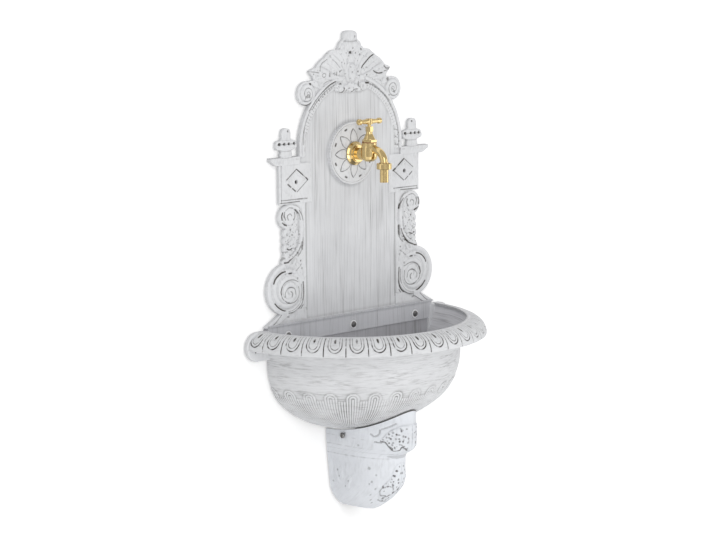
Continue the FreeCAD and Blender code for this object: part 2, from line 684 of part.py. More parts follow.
def bowl_tongues():
    """Raised tongues with arched tops, each with a slot, and a rib between each two of them."""
    tongue = arched(TONGUE_HALF_DEG).cut(arched(TONGUE_SLOT_HALF_DEG))
    rib = wedge(RIB_HALF_DEG, RIB_TOP_Z)
    pitch = 180.0 / TONGUES
    shapes = []
    for i in range(2 * TONGUES - 1):
        shape = (rib if i % 2 else tongue).copy()
        shape.rotate(vec(0, 0, 0), vec(0, 0, 1), (i + 1) * pitch / 2 - 90)
        shapes.append(shape)
    hidden = Part.makeCylinder(TONGUE_TIP_R, SPAN, vec(0, 0, -SPAN))
    return bowl_filled(TONGUE_H).cut([bowl_filled(-1.0), hidden]).common(shapes)


def bowl_filled(grow=0.0):
    return half_turn(bowl_region(grow))


def basin():
    outside = half_turn(rim_region(0.0)).fuse([bowl_filled(), bowl_tongues()])
    channel = half_turn(rim_region(RIM_SKIN_T)).cut(bowl_filled())
    cavity = bowl_filled(-BASIN_WALL_T).cut(back_slab(BASIN_BACK_T))
    mouth = Part.makeCylinder(RIM_INNER_R, RIM_SKIN_T + 2, vec(0, 0, RIM_TOP_Z - RIM_SKIN_T), vec(0, 0, 1))
    mouth = mouth.common(front_slab(BASIN_BACK_T))
    back_strip = Part.makeBox(2 * FOOT_HALF_W, BASIN_BACK_T, RIM_GAP + RIM_BACK_STRIP_H,
                              vec(-FOOT_HALF_W, -BASIN_BACK_T, RIM_TOP_Z - RIM_BACK_STRIP_H))
    seat = rod(WASTE_SEAT_R, WASTE_SEAT_T, 0, WASTE_Y, WASTE_SEAT_Z - WASTE_SEAT_T)
    recess = rod(WASTE_SEAT_R, 40, 0, WASTE_Y, WASTE_SEAT_Z).common(bowl_filled())
    body = outside.cut([channel, rim_carving()]).fuse([back_strip, seat] + rim_ears() + console_lugs())
    body = body.cut([cavity, mouth, recess])
    body = body.cut(rod(WASTE_TAIL_R + WASTE_HOLE_CLEARANCE, 60, 0, WASTE_Y, WASTE_SEAT_Z - 40))
    for x in panel_screw_places():
        body = body.cut(rod(PANEL_SCREW_R + THREAD_CLEARANCE, BASIN_BACK_T + 2, x, 1, PANEL_SCREW_Z,
                            (0, -1, 0)))
    for side in (-1, 1):
        body = body.cut(rod(CONSOLE_SCREW_R + THREAD_CLEARANCE, 3 * LUG_T, side * (lug_face_x() + LUG_T),
                            CONSOLE_SCREW_Y, CONSOLE_SCREW_Z, (-side, 0, 0)))
    return body.removeSplitter()


def back_slab(depth):
    """Everything from a depth in front of the wall to behind it, wider and taller than the basin."""
    return Part.makeBox(2 * SPAN, depth + SPAN, 2 * SPAN, vec(-SPAN, -depth, RIM_TOP_Z - SPAN))


def front_slab(depth):
    return Part.makeBox(2 * SPAN, SPAN, 2 * SPAN, vec(-SPAN, -SPAN - depth, RIM_TOP_Z - SPAN))


def basin_pieces():
    """The casting as three plain regions: flat back, rim above the neck, bowl below it."""
    whole = basin()
    back = whole.common(back_slab(BASIN_BACK_T))
    front = whole.common(front_slab(BASIN_BACK_T))
    above = Part.makeBox(2 * SPAN, SPAN, SPAN, vec(-SPAN, -SPAN, BASIN_NECK_Z))
    return back, front.common(above), front.cut(above)


def console_half_width(z, y, inset):
    """How far the console's wall, moved in by inset, stands from the middle plane at a height and depth."""
    rows = CONSOLE_SECTIONS
    for (z0, w0, d0), (z1, w1, d1) in zip(rows, rows[1:]):
        if z1 <= z <= z0:
            t = (z - z0) / (z1 - z0)
            w = w0 + t * (w1 - w0) - inset
            d = d0 + t * (d1 - d0) - inset
            return w * math.sqrt(1 - (y / d) ** 2)
    raise ValueError("that height is outside the console")


def lug_face_x():
    low_z = CONSOLE_SCREW_Z - LUG_DROP / 2
    near = console_half_width(low_z, CONSOLE_SCREW_Y - LUG_W / 2, CONSOLE_WALL_T)
    return near - LUG_GAP


def console_lugs():
    """Two tabs cast under the bowl, one inside each side of the console."""
    x = lug_face_x()
    tab = Part.makeBox(LUG_T, LUG_W, 60,
                       vec(x - LUG_T, CONSOLE_SCREW_Y - LUG_W / 2, CONSOLE_SCREW_Z - LUG_DROP))
    return both_sides(tab)


# Console


def half_ellipse_wire(half_w, depth, z):
    """Front half of an upright bracket's section, closed along the wall."""
    def ring(angle):
        return vec(half_w * math.cos(angle), -depth * math.sin(angle), z)

    oval = Part.Ellipse(vec(0, -depth, z), vec(half_w, 0, z), vec(0, 0, z))
    if half_w > depth:
        oval = Part.Ellipse(vec(half_w, 0, z), vec(0, depth, z), vec(0, 0, z))
    first, middle, last = [oval.parameter(ring(a)) for a in (0, math.pi / 2, math.pi)]
    turn = 2 * math.pi
    if not min(first, last) <= middle <= max(first, last):
        first, middle, last = [(p + math.pi) % turn - math.pi for p in (first, middle, last)]
    arc = oval.toShape(min(first, last), max(first, last))
    return Part.Wire([arc, Part.makeLine(arc.Vertexes[-1].Point, arc.Vertexes[0].Point)])


def console_block(inset):
    wires = [half_ellipse_wire(w - inset, d - inset, z) for z, w, d in CONSOLE_SECTIONS]
    return Part.makeLoft(wires, True, True)


def console_hollow():
    rows = [(z, w - CONSOLE_WALL_T, d - CONSOLE_WALL_T) for z, w, d in CONSOLE_SECTIONS]
    top_z, top_w, top_d = rows[0]
    kept = [row for row in rows if row[0] > CONSOLE_SECTIONS[-1][0] + 2 * CONSOLE_WALL_T]
    low_z = CONSOLE_SECTIONS[-1][0] + CONSOLE_WALL_T
    kept.append((low_z, 0.75 * kept[-1][1], 0.75 * kept[-1][2]))
    wires = [half_ellipse_wire(w, d, z) for z, w, d in [(top_z + 5, top_w, top_d)] + kept]
    return Part.makeLoft(wires, True, True)


def console():
    body = console_block(0.0)
    pads = []
    pad_x = console_pad_x()
    for side in (-1, 1):
        pad_l = CONSOLE_WALL_T + CONSOLE_PAD_H
        pads.append(rod(CONSOLE_PAD_R, pad_l, side * (pad_x - pad_l), CONSOLE_SCREW_Y, CONSOLE_SCREW_Z,
                        (side, 0, 0)))
    body = body.fuse(pads)
    body = body.cut([console_hollow(), bowl_filled(CONSOLE_TOP_GAP)])
    mouth = rod(CONSOLE_MOUTH_R, 40, 0, WASTE_Y, CONSOLE_SECTIONS[-1][0] - 5)
    body = body.cut(mouth)
    for side in (-1, 1):
        body = body.cut(rod(CONSOLE_SCREW_R + SCREW_CLEARANCE, 2 * CONSOLE_WALL_T + 6, side * (pad_x + 1),
                            CONSOLE_SCREW_Y, CONSOLE_SCREW_Z, (-side, 0, 0)))
    return body


def console_pad_x():
    return console_half_width(CONSOLE_SCREW_Z, CONSOLE_SCREW_Y, 0.0) + CONSOLE_PAD_H


def slotted_screw(shank_r, shank_l, head_r, head_h):
    """A screw that points along -Z from its seat at the origin, with a slot in its domed head."""
    dome = turned([(0, head_h), (0.45 * head_r, head_h), (0.85 * head_r, 0.7 * head_h),
                   (head_r, 0.25 * head_h), (head_r, 0), (0, 0)], 0, 0, 0)
    slot = Part.makeBox(2 * head_r + 2, SLOT_W, SLOT_DEPTH, vec(-head_r - 1, -SLOT_W / 2, head_h - SLOT_DEPTH))
    return dome.cut(slot).fuse(rod(shank_r, shank_l, 0, 0, -shank_l))


def placed(shape, x, y, z, axis):
    """A copy of a shape whose own +Z is turned to axis and whose origin is moved to a place."""
    copy = shape.copy()
    copy.Placement = FreeCAD.Placement(vec(x, y, z), FreeCAD.Rotation(vec(0, 0, 1), vec(*axis)))
    return copy


def panel_fasteners():
    seat_y = -(BASIN_BACK_T + FLANGE_T)
    hole = PANEL_SCREW_R + SCREW_CLEARANCE
    washer = turned([(hole, 0), (PANEL_WASHER_R, 0), (PANEL_WASHER_R, PANEL_WASHER_T),
                     (hole, PANEL_WASHER_T)], 0, 0, 0)
    length = PANEL_WASHER_T + FLANGE_T + BASIN_BACK_T - 0.5
    screw = slotted_screw(PANEL_SCREW_R, length, PANEL_SCREW_HEAD_R, PANEL_SCREW_HEAD_H)
    washers = [placed(washer, x, seat_y, PANEL_SCREW_Z, (0, -1, 0)) for x in panel_screw_places()]
    head_y = seat_y - PANEL_WASHER_T
    screws = [placed(screw, x, head_y, PANEL_SCREW_Z, (0, -1, 0)) for x in panel_screw_places()]
    return Part.makeCompound(screws), Part.makeCompound(washers)


def console_fasteners():
    length = CONSOLE_PAD_H + CONSOLE_WALL_T + LUG_T - 1
    screw = slotted_screw(CONSOLE_SCREW_R, length, CONSOLE_SCREW_HEAD_R, CONSOLE_SCREW_HEAD_H)
    x = console_pad_x()
    return Part.makeCompound([placed(screw, side * x, CONSOLE_SCREW_Y, CONSOLE_SCREW_Z, (side, 0, 0))
                              for side in (-1, 1)])


# Waste


def waste():
    """Strainer with its threaded tail, gasket above the floor, washer and locknut below it."""
    gasket_top = WASTE_SEAT_Z + WASTE_GASKET_T
    top = gasket_top + WASTE_FLANGE_T
    tail_l = gasket_top - WASTE_TAIL_END_Z
    fitting = rod(WASTE_FLANGE_R, WASTE_FLANGE_T, 0, WASTE_Y, gasket_top)
    fitting = fitting.fuse(rod(WASTE_TAIL_R, tail_l, 0, WASTE_Y, WASTE_TAIL_END_Z))
    groove_z = WASTE_TAIL_END_Z + WASTE_TAIL_FREE_L
    fitting = fitting.cut(ring_at(WASTE_TAIL_R + 1, WASTE_TAIL_R - GROOVE_DEPTH, WASTE_GROOVE_W, groove_z))
    fitting = fitting.cut(rod(WASTE_BORE_R, tail_l, 0, WASTE_Y, WASTE_TAIL_END_Z - 0.5))
    for i in range(WASTE_SLOTS):
        angle = 2 * math.pi * i / WASTE_SLOTS
        fitting = fitting.cut(rod(WASTE_SLOT_R, 12, WASTE_SLOT_CIRCLE_R * math.cos(angle),
                                  WASTE_Y + WASTE_SLOT_CIRCLE_R * math.sin(angle), top - 6))
    under = WASTE_SEAT_Z - WASTE_SEAT_T
    hole = WASTE_TAIL_R + THREAD_CLEARANCE
    gasket = ring_at(WASTE_FLANGE_R - 1, hole, WASTE_GASKET_T, WASTE_SEAT_Z)
    washer = ring_at(WASTE_NUT_R + 2, hole, WASTE_GASKET_T, under - WASTE_GASKET_T)
    nut = hexagon(1.732 * WASTE_NUT_R, WASTE_NUT_H, 0, WASTE_Y, under - WASTE_GASKET_T - WASTE_NUT_H)
    nut = nut.cut(rod(hole, WASTE_NUT_H + 2, 0, WASTE_Y, under - WASTE_GASKET_T - WASTE_NUT_H - 1))
    return fitting, gasket, washer, nut


def ring_at(outer, inner, height, z):
    return rod(outer, height, 0, WASTE_Y, z).cut(rod(inner, height, 0, WASTE_Y, z))


# Tap


def tap_mouth_z():
    return ROSETTE_Z + TAP_MOUTH_RISE


def tap_collar_y():
    return -(ROSETTE_T + ESCUTCHEON_H)


def spout_tube(radius, start_y):
    """Straight run down out of the globe, a bend, then straight down into the outlet."""
    slope = math.radians(SPOUT_SLOPE_DEG)
    face_z = ROSETTE_Z - OUTLET_FACE_DROP + OUTLET_THREAD_H
    hub = vec(0, OUTLET_Y + SPOUT_BEND_R, face_z)
    bend_start = hub + vec(0, -SPOUT_BEND_R * math.sin(slope), SPOUT_BEND_R * math.cos(slope))
    direction = vec(0, -math.cos(slope), -math.sin(slope))
    length = (start_y - bend_start.y) / math.cos(slope)
    run = Part.makeCylinder(radius, length, bend_start - direction * length, direction)
    circle = Part.Face(Part.Wire(Part.makeCircle(radius, bend_start, direction)))
    bend = circle.revolve(hub, vec(1, 0, 0), 90 - SPOUT_SLOPE_DEG)
    return run.fuse(bend)


def tap_body():
    z = ROSETTE_Z
    mouth = tap_mouth_z()
    tail = rod(TAIL_R, -tap_collar_y() + TAIL_END_Y, 0, TAIL_END_Y, z, (0, -1, 0))
    collar = rod(TAP_COLLAR_R, TAP_COLLAR_T, 0, tap_collar_y(), z, (0, -1, 0))
    neck = rod(NECK_R, tap_collar_y() - SPINDLE_Y, 0, tap_collar_y(), z, (0, -1, 0))
    low = -GLOBE_BOTTOM_DROP
    globe = turned([(0, low), (0.55 * GLOBE_R, low), (0.9 * GLOBE_R, low + 3.5), (GLOBE_R, low + 8),
                    (GLOBE_R, TAP_MOUTH_RISE - 8), (TAP_MOUTH_R, TAP_MOUTH_RISE - 5),
                    (TAP_MOUTH_R, TAP_MOUTH_RISE), (0, TAP_MOUTH_RISE)], 0, SPINDLE_Y, z)
    face_z = z - OUTLET_FACE_DROP
    outlet = rod(OUTLET_THREAD_R, OUTLET_THREAD_H, 0, OUTLET_Y, face_z)
    outlet = outlet.fuse(rod(SPOUT_R + 1.5, OUTLET_THREAD_H + 2, 0, OUTLET_Y, face_z))
    groove = rod(TAIL_R + 1, TAIL_GROOVE_W, 0, TAIL_END_Y - TAIL_FREE_L, z, (0, -1, 0))
    groove = groove.cut(rod(TAIL_R - GROOVE_DEPTH, TAIL_GROOVE_W, 0, TAIL_END_Y - TAIL_FREE_L, z, (0, -1, 0)))
    body = tail.cut(groove).fuse([collar, neck, globe, outlet, spout_tube(SPOUT_R, SPINDLE_Y)])
    seat_z = z + SEAT_RISE
    floor_z = z - CHAMBER_FLOOR_DROP
    lower = rod(CHAMBER_R, seat_z - SEAT_LAND_T - floor_z, 0, SPINDLE_Y, floor_z)
    upper = rod(CHAMBER_R, mouth - seat_z + 1, 0, SPINDLE_Y, seat_z)
    orifice = rod(SEAT_HOLE_R, SEAT_LAND_T + 2, 0, SPINDLE_Y, seat_z - SEAT_LAND_T - 1)
    inlet = rod(INLET_BORE_R, TAIL_END_Y + 1 - INLET_BORE_END_Y, 0, TAIL_END_Y + 1, z, (0, -1, 0))
    port_start = vec(0, INLET_BORE_END_Y + INLET_PORT_R, z)
    port_end = vec(0, SPINDLE_Y + 3, z - INLET_PORT_DROP)
    port_run = port_end - port_start
    port = Part.makeCylinder(INLET_PORT_R, port_run.Length, port_start, port_run)
    water = rod(SPOUT_BORE_R, OUTLET_THREAD_H + 1, 0, OUTLET_Y, face_z - 1)
    spout_bore = spout_tube(SPOUT_BORE_R, SPINDLE_Y - CHAMBER_R + 2)
    return body.cut([lower, upper, orifice, inlet, port, water, spout_bore]).removeSplitter()


def tap_wall_fixings():
    z = ROSETTE_Z
    front = ROSETTE_T
    hole = TAIL_R + TAP_HOLE_CLEARANCE / 2
    escutcheon = turned([(hole, 0), (ESCUTCHEON_R, 0), (ESCUTCHEON_R, 1.2), (0.85 * ESCUTCHEON_R, 3.4),
                         (TAP_COLLAR_R + 1, ESCUTCHEON_H), (hole, ESCUTCHEON_H)], 0, -front, z, (0, -1, 0))
    floor_y = -(ROSETTE_T - ROSETTE_SKIN_T)
    washer = turned([(hole, 0), (BACK_WASHER_R, 0), (BACK_WASHER_R, BACK_WASHER_T), (hole, BACK_WASHER_T)],
                    0, floor_y, z, (0, 1, 0))
    nut = hexagon(1.732 * BACKNUT_R, BACKNUT_T, 0, floor_y + BACK_WASHER_T, z, (0, 1, 0))
    nut = nut.cut(rod(TAIL_R + THREAD_CLEARANCE, 30, 0, floor_y - 5, z, (0, 1, 0)))
    return escutcheon, washer, nut


def bonnet():
    mouth = tap_mouth_z()
    seat = mouth + BONNET_WASHER_T
    flange = hexagon(BONNET_FLANGE_ACROSS_FLATS, BONNET_FLANGE_H, 0, SPINDLE_Y, seat)
    cone = turned([(0, BONNET_FLANGE_H - 0.5), (BONNET_FLANGE_ACROSS_FLATS / 2 - 0.5, BONNET_FLANGE_H - 0.5),
                   (BONNET_FLANGE_ACROSS_FLATS / 2 - 1, BONNET_FLANGE_H + 1),
                   (BONNET_WAIST_R, BONNET_WAIST_RISE), (BONNET_NECK_R, BONNET_WAIST_RISE + 4),
                   (GLAND_THREAD_R, BONNET_TOP_RISE - GLAND_NUT_SKIRT_H),
                   (GLAND_THREAD_R, BONNET_TOP_RISE), (0, BONNET_TOP_RISE)], 0, SPINDLE_Y, seat)
    thread_r = CHAMBER_R - THREAD_CLEARANCE
    thread = rod(thread_r, BONNET_THREAD_H + BONNET_WASHER_T + 0.5, 0, SPINDLE_Y, mouth - BONNET_THREAD_H)
    body = flange.fuse([cone, thread])
    nut_room = spindle_thread_top() + SPINDLE_TRAVEL + TRAVEL_ROOM
    bore = rod(SPINDLE_THREAD_R + RUNNING_CLEARANCE, nut_room - (mouth - BONNET_THREAD_H) + 1, 0, SPINDLE_Y,
               mouth - BONNET_THREAD_H - 1)
    stem_hole = rod(SPINDLE_R + RUNNING_CLEARANCE, 60, 0, SPINDLE_Y, mouth)
    gland = rod(GLAND_BORE_R, GLAND_BORE_DEPTH + 1, 0, SPINDLE_Y, seat + BONNET_TOP_RISE - GLAND_BORE_DEPTH)
    return body.cut([bore, stem_hole, gland])


def bonnet_washer():
    mouth = tap_mouth_z()
    outer = rod(TAP_MOUTH_R - 0.5, BONNET_WASHER_T, 0, SPINDLE_Y, mouth)
    return outer.cut(rod(CHAMBER_R + THREAD_CLEARANCE, BONNET_WASHER_T, 0, SPINDLE_Y, mouth))


def gland_top_z():
    return tap_mouth_z() + BONNET_WASHER_T + BONNET_TOP_RISE


def gland():
    top = gland_top_z()
    packing = rod(GLAND_BORE_R - 0.02, PACKING_T, 0, SPINDLE_Y, top - GLAND_BORE_DEPTH)
    packing = packing.cut(rod(SPINDLE_R + RUNNING_CLEARANCE, PACKING_T, 0, SPINDLE_Y, top - GLAND_BORE_DEPTH))
    nut = hexagon(1.732 * GLAND_NUT_R, GLAND_NUT_H + GLAND_NUT_SKIRT_H - 0.5, 0, SPINDLE_Y,
                  top - GLAND_NUT_SKIRT_H + 0.5)
    nut = nut.cut(rod(GLAND_THREAD_R + THREAD_CLEARANCE, GLAND_NUT_SKIRT_H, 0, SPINDLE_Y,
                      top - GLAND_NUT_SKIRT_H))
    nut = nut.fuse(rod(GLAND_BORE_R - 0.1, GLAND_BORE_DEPTH - PACKING_T + 0.2, 0, SPINDLE_Y,
                       top - GLAND_BORE_DEPTH + PACKING_T))
    nut = nut.cut(rod(SPINDLE_R + RUNNING_CLEARANCE, 40, 0, SPINDLE_Y, top - 20))
    return packing, nut


def valve_top_z():
    return ROSETTE_Z + SEAT_RISE + VALVE_WASHER_T + VALVE_DISC_T


def spindle_thread_top():
    return valve_top_z() + SPINDLE_THREAD_L


def handle_seat_z():
    return gland_top_z() + GLAND_NUT_H + HANDLE_RISE


def spindle():
    bottom = valve_top_z()
    body = rod(SPINDLE_THREAD_R, SPINDLE_THREAD_L, 0, SPINDLE_Y, bottom)
    top = handle_seat_z() + HANDLE_HUB_H - HANDLE_SCREW_HEAD_H
    body = body.fuse(rod(SPINDLE_R, top - bottom, 0, SPINDLE_Y, bottom))
    socket = rod(VALVE_STEM_R + VALVE_STEM_CLEARANCE, VALVE_STEM_L + 0.5, 0, SPINDLE_Y, bottom)
    tapped = rod(HANDLE_SCREW_R + THREAD_CLEARANCE, HANDLE_SCREW_L + 1, 0, SPINDLE_Y,
                 top - HANDLE_SCREW_L - 1)
    return body.cut([socket, tapped])


def valve():
    seat = ROSETTE_Z + SEAT_RISE
    disc_z = seat + VALVE_WASHER_T
    disc = rod(VALVE_DISC_R, VALVE_DISC_T, 0, SPINDLE_Y, disc_z)
    disc = disc.fuse([rod(VALVE_STEM_R, VALVE_STEM_L + VALVE_DISC_T, 0, SPINDLE_Y, disc_z),
                      rod(VALVE_STEM_R, VALVE_WASHER_T + WASHER_NUT_T + 0.4, 0, SPINDLE_Y,
                          seat - WASHER_NUT_T - 0.4)])
    washer = rod(VALVE_DISC_R, VALVE_WASHER_T, 0, SPINDLE_Y, seat)
    washer = washer.cut(rod(VALVE_STEM_R + THREAD_CLEARANCE, VALVE_WASHER_T, 0, SPINDLE_Y, seat))
    nut = hexagon(1.732 * WASHER_NUT_R, WASHER_NUT_T, 0, SPINDLE_Y, seat - WASHER_NUT_T)
    nut = nut.cut(rod(VALVE_STEM_R + THREAD_CLEARANCE, WASHER_NUT_T, 0, SPINDLE_Y, seat - WASHER_NUT_T))
    return disc, washer, nut


def handle():
    z = handle_seat_z()
    bar_z = z + HANDLE_HUB_H / 2
    half = HANDLE_LENGTH / 2
    bar = turned([(0, -half), (0.6 * HANDLE_KNOB_R, -half), (HANDLE_KNOB_R, 1.5 - half),
                  (HANDLE_KNOB_R, 6 - half), (0.78 * HANDLE_R, 9 - half), (HANDLE_R, -HANDLE_HUB_R), (HANDLE_R, HANDLE_HUB_R),
                  (0.78 * HANDLE_R, half - 9), (HANDLE_KNOB_R, half - 6), (HANDLE_KNOB_R, half - 1.5),
                  (0.6 * HANDLE_KNOB_R, half), (0, half)], 0, SPINDLE_Y, bar_z, (1, 0, 0))
    hub = rod(HANDLE_HUB_R, HANDLE_HUB_H, 0, SPINDLE_Y, z)
    body = bar.fuse(hub)
    body = body.cut(rod(SPINDLE_R + THREAD_CLEARANCE, HANDLE_HUB_H - HANDLE_SCREW_HEAD_H, 0, SPINDLE_Y, z))
    head = rod(HANDLE_SCREW_HEAD_R + 2 * THREAD_CLEARANCE, HANDLE_HUB_H, 0, SPINDLE_Y,
               z + HANDLE_HUB_H - HANDLE_SCREW_HEAD_H)
    return body.cut(head)


def handle_screw():
    seat = handle_seat_z() + HANDLE_HUB_H - HANDLE_SCREW_HEAD_H
    screw = slotted_screw(HANDLE_SCREW_R, HANDLE_SCREW_L, HANDLE_SCREW_HEAD_R, HANDLE_SCREW_HEAD_H)
    return placed(screw, 0, SPINDLE_Y, seat, (0, 0, 1))


def hose_end():
    """Washer, nozzle and union nut under the spout's face."""
    face = ROSETTE_Z - OUTLET_FACE_DROP
    washer = rod(NOZZLE_COLLAR_R, NOZZLE_WASHER_T, 0, OUTLET_Y, face - NOZZLE_WASHER_T)
    washer = washer.cut(rod(NOZZLE_BORE_R, NOZZLE_WASHER_T, 0, OUTLET_Y, face - NOZZLE_WASHER_T))
    collar_z = face - NOZZLE_WASHER_T - NOZZLE_COLLAR_T
    nozzle = rod(NOZZLE_COLLAR_R, NOZZLE_COLLAR_T, 0, OUTLET_Y, collar_z)
    nozzle = nozzle.fuse([rod(NOZZLE_R - GROOVE_DEPTH, NOZZLE_DROP, 0, OUTLET_Y, collar_z - NOZZLE_DROP),
                          rod(NOZZLE_R, NOZZLE_FREE_L, 0, OUTLET_Y, collar_z - NOZZLE_DROP)])
    nozzle = nozzle.cut(rod(NOZZLE_BORE_R, NOZZLE_DROP + 20, 0, OUTLET_Y, collar_z - NOZZLE_DROP - 5))
    nut_z = collar_z - UNION_NUT_LIP_T
    nut = turned([(UNION_NUT_R - 0.8, 0), (UNION_NUT_R, 0.8), (UNION_NUT_R, UNION_NUT_H - 0.8),
                  (UNION_NUT_R - 0.8, UNION_NUT_H), (OUTLET_THREAD_R + THREAD_CLEARANCE, UNION_NUT_H),
                  (OUTLET_THREAD_R + THREAD_CLEARANCE, UNION_NUT_LIP_T),
                  (NOZZLE_R + THREAD_CLEARANCE, UNION_NUT_LIP_T), (NOZZLE_R + THREAD_CLEARANCE, 0)],
                 0, OUTLET_Y, nut_z)
    return washer, nozzle, nut


def build():
    PARTS["back_panel"] = back_panel()
    PARTS["basin_back"], PARTS["basin_rim"], PARTS["basin_bowl"] = basin_pieces()
    PARTS["console"] = console()
    PARTS["panel_screws"], PARTS["panel_washers"] = panel_fasteners()
    PARTS["console_screws"] = console_fasteners()
    PARTS["waste_fitting"], PARTS["waste_gasket"], PARTS["waste_washer"], PARTS["waste_locknut"] = waste()
    PARTS["tap_body"] = tap_body()
    PARTS["tap_escutcheon"], PARTS["tap_back_washer"], PARTS["tap_backnut"] = tap_wall_fixings()
    PARTS["tap_bonnet"] = bonnet()
    PARTS["bonnet_washer"] = bonnet_washer()
    PARTS["gland_packing"], PARTS["gland_nut"] = gland()
    PARTS["spindle"] = spindle()
    PARTS["jumper_valve"], PARTS["valve_washer"], PARTS["washer_nut"] = valve()
    PARTS["tap_handle"] = handle()
    PARTS["handle_screw"] = handle_screw()
    PARTS["nozzle_washer"], PARTS["hose_nozzle"], PARTS["hose_union_nut"] = hose_end()


def export():
    os.makedirs("parts", exist_ok=True)
    for name, shape in PARTS.items():
        box = shape.BoundBox
        print(f"{name:16} solids {len(shape.Solids)} valid {shape.isValid()} volume {shape.Volume:10.1f} "
              f"x {box.XMin:7.1f} {box.XMax:7.1f} y {box.YMin:7.1f} {box.YMax:6.1f} "
              f"z {box.ZMin:7.1f} {box.ZMax:7.1f}")
        shape.exportStep(f"parts/{name}.step")


build()
export()
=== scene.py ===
"""Looks of the wall-hung garden fountain: carved and painted castings, polished tap, wall, floor and light.

Lengths in this file are millimetres in the row frame, and become metres when a mesh is made.
"""

import math

import bpy
import numpy as np
from mathutils import Matrix, Vector

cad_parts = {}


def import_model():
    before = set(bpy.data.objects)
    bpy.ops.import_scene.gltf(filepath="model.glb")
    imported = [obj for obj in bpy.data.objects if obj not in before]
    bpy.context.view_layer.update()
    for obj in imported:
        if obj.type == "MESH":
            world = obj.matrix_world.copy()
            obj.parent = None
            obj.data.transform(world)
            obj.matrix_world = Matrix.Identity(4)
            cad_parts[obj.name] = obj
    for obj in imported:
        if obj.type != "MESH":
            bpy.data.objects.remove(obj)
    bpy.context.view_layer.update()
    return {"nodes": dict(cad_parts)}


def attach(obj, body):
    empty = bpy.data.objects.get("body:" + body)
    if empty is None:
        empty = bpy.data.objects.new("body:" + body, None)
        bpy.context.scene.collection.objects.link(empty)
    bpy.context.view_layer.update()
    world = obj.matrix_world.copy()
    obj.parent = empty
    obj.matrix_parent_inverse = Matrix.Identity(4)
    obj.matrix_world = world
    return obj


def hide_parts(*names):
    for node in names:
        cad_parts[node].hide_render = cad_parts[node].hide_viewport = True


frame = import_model()

MM = 0.001
SIDES = (-1, 1)

# The panel: its plate's thickness and foot, the arch's centre and radius, the tap and the wall screws
PLATE_H = 5.0
PANEL_FOOT = -224.9
ARCH_Z, ARCH_R = 51, 112
TAP_Z = 38
SCREW_X = 120

# The thinnest that carving may leave a sheet, and the angle from which an edge is shaded sharp
LEAST_WALL = 0.4
SHARP_DEG = 50

# The soft grey wash and painted shade in hollows, with painted highlight on raised edges, as a share of their
# depth within two limits, and the wash and painted shade of drawn marks
WASH_AND_SHADE_SHARE = 0.3
WASH_AND_SHADE_LIMITS = (-0.35, 0.22)
MARK_SHARE, MARK_MOST = 1.35, 1.1


# Small maths


def srgb(r, g, b):
    """A colour written as it looks on the screen, 0 to 255, as Blender's linear colour."""
    out = []
    for c in (r, g, b):
        c = c / 255
        out.append(c / 12.92 if c <= 0.04045 else ((c + 0.055) / 1.055) ** 2.4)
    return (*out, 1.0)


def swell(t):
    """Quarter-round rise from 0 to 1."""
    t = np.clip(t, 0, 1)
    return np.sqrt(1 - (1 - t) ** 2)


def smooth(t):
    """Soft step from 0 to 1."""
    t = np.clip(t, 0, 1)
    return t * t * (3 - 2 * t)


def hump(t):
    """1 where t is 0, and 0 from t = 1 outwards on either side."""
    return np.clip(1 - t ** 2, 0, 1)


def dome(t):
    """Round back of a moulding, with the same reach as hump."""
    return np.sqrt(hump(t))


def circle_sd(X, Z, x, z, r):
    """Signed distance to a circle, negative inside, like those of the other shapes below."""
    return np.hypot(X - x, Z - z) - r


def oval_sd(X, Z, x, z, a, b, turn=0.0):
    """Half axes a and b, turned by an angle in degrees. Its distance is true only near the outline."""
    c, s = math.cos(math.radians(turn)), math.sin(math.radians(turn))
    u = ((X - x) * c + (Z - z) * s) / a
    v = (-(X - x) * s + (Z - z) * c) / b
    return (np.hypot(u, v) - 1) * min(a, b)


def box_sd(X, Z, x0, x1, z0, z1):
    """An upright box from x0 to x1 and from z0 to z1."""
    dx = np.maximum(x0 - X, X - x1)
    dz = np.maximum(z0 - Z, Z - z1)
    return np.hypot(np.maximum(dx, 0), np.maximum(dz, 0)) + np.minimum(np.maximum(dx, dz), 0)


def polygon_sd(X, Z, points):
    """Signed distance to a closed polygon."""
    best = np.full(X.shape, 1e9)
    inside = np.zeros(X.shape, bool)
    for (x0, z0), (x1, z1) in zip(points, points[1:] + points[:1]):
        dx, dz = x1 - x0, z1 - z0
        t = np.clip(((X - x0) * dx + (Z - z0) * dz) / (dx * dx + dz * dz + 1e-12), 0, 1)
        best = np.minimum(best, np.hypot(X - x0 - t * dx, Z - z0 - t * dz))
        if abs(dz) > 1e-9:
            crosses = ((Z >= min(z0, z1)) & (Z < max(z0, z1))) & (X < x0 + (Z - z0) / dz * dx)
            inside ^= crosses
    return np.where(inside, -best, best)


def run_length(x, z):
    """Length along a run of points, from its first point to each of them."""
    return np.concatenate([[0], np.cumsum(np.hypot(np.diff(x), np.diff(z)))])


def curve(points, step=0.8):
    """Evenly spaced points on a smooth curve through the given ones."""
    p = np.array(points, float)
    if len(p) > 2:
        ends = np.vstack([2 * p[0] - p[1], p, 2 * p[-1] - p[-2]])
        out = []
        for a, b, c, d in zip(ends, ends[1:], ends[2:], ends[3:]):
            t = np.linspace(0, 1, 12, endpoint=False)[:, None]
            out.append(0.5 * (2 * b + (c - a) * t + (2 * a - 5 * b + 4 * c - d) * t ** 2
                              + (3 * b - a - 3 * c + d) * t ** 3))
        p = np.vstack(out + [p[-1:]])
    length = run_length(p[:, 0], p[:, 1])
    at = np.linspace(0, length[-1], max(3, int(length[-1] / step)))
    return np.column_stack([np.interp(at, length, p[:, 0]), np.interp(at, length, p[:, 1])])


def arc(cx, cz, radius, start_deg, end_deg, count):
    """Points on an arc, as their two coordinates."""
    a = np.radians(np.linspace(start_deg, end_deg, count))
    return cx + radius * np.cos(a), cz + radius * np.sin(a)


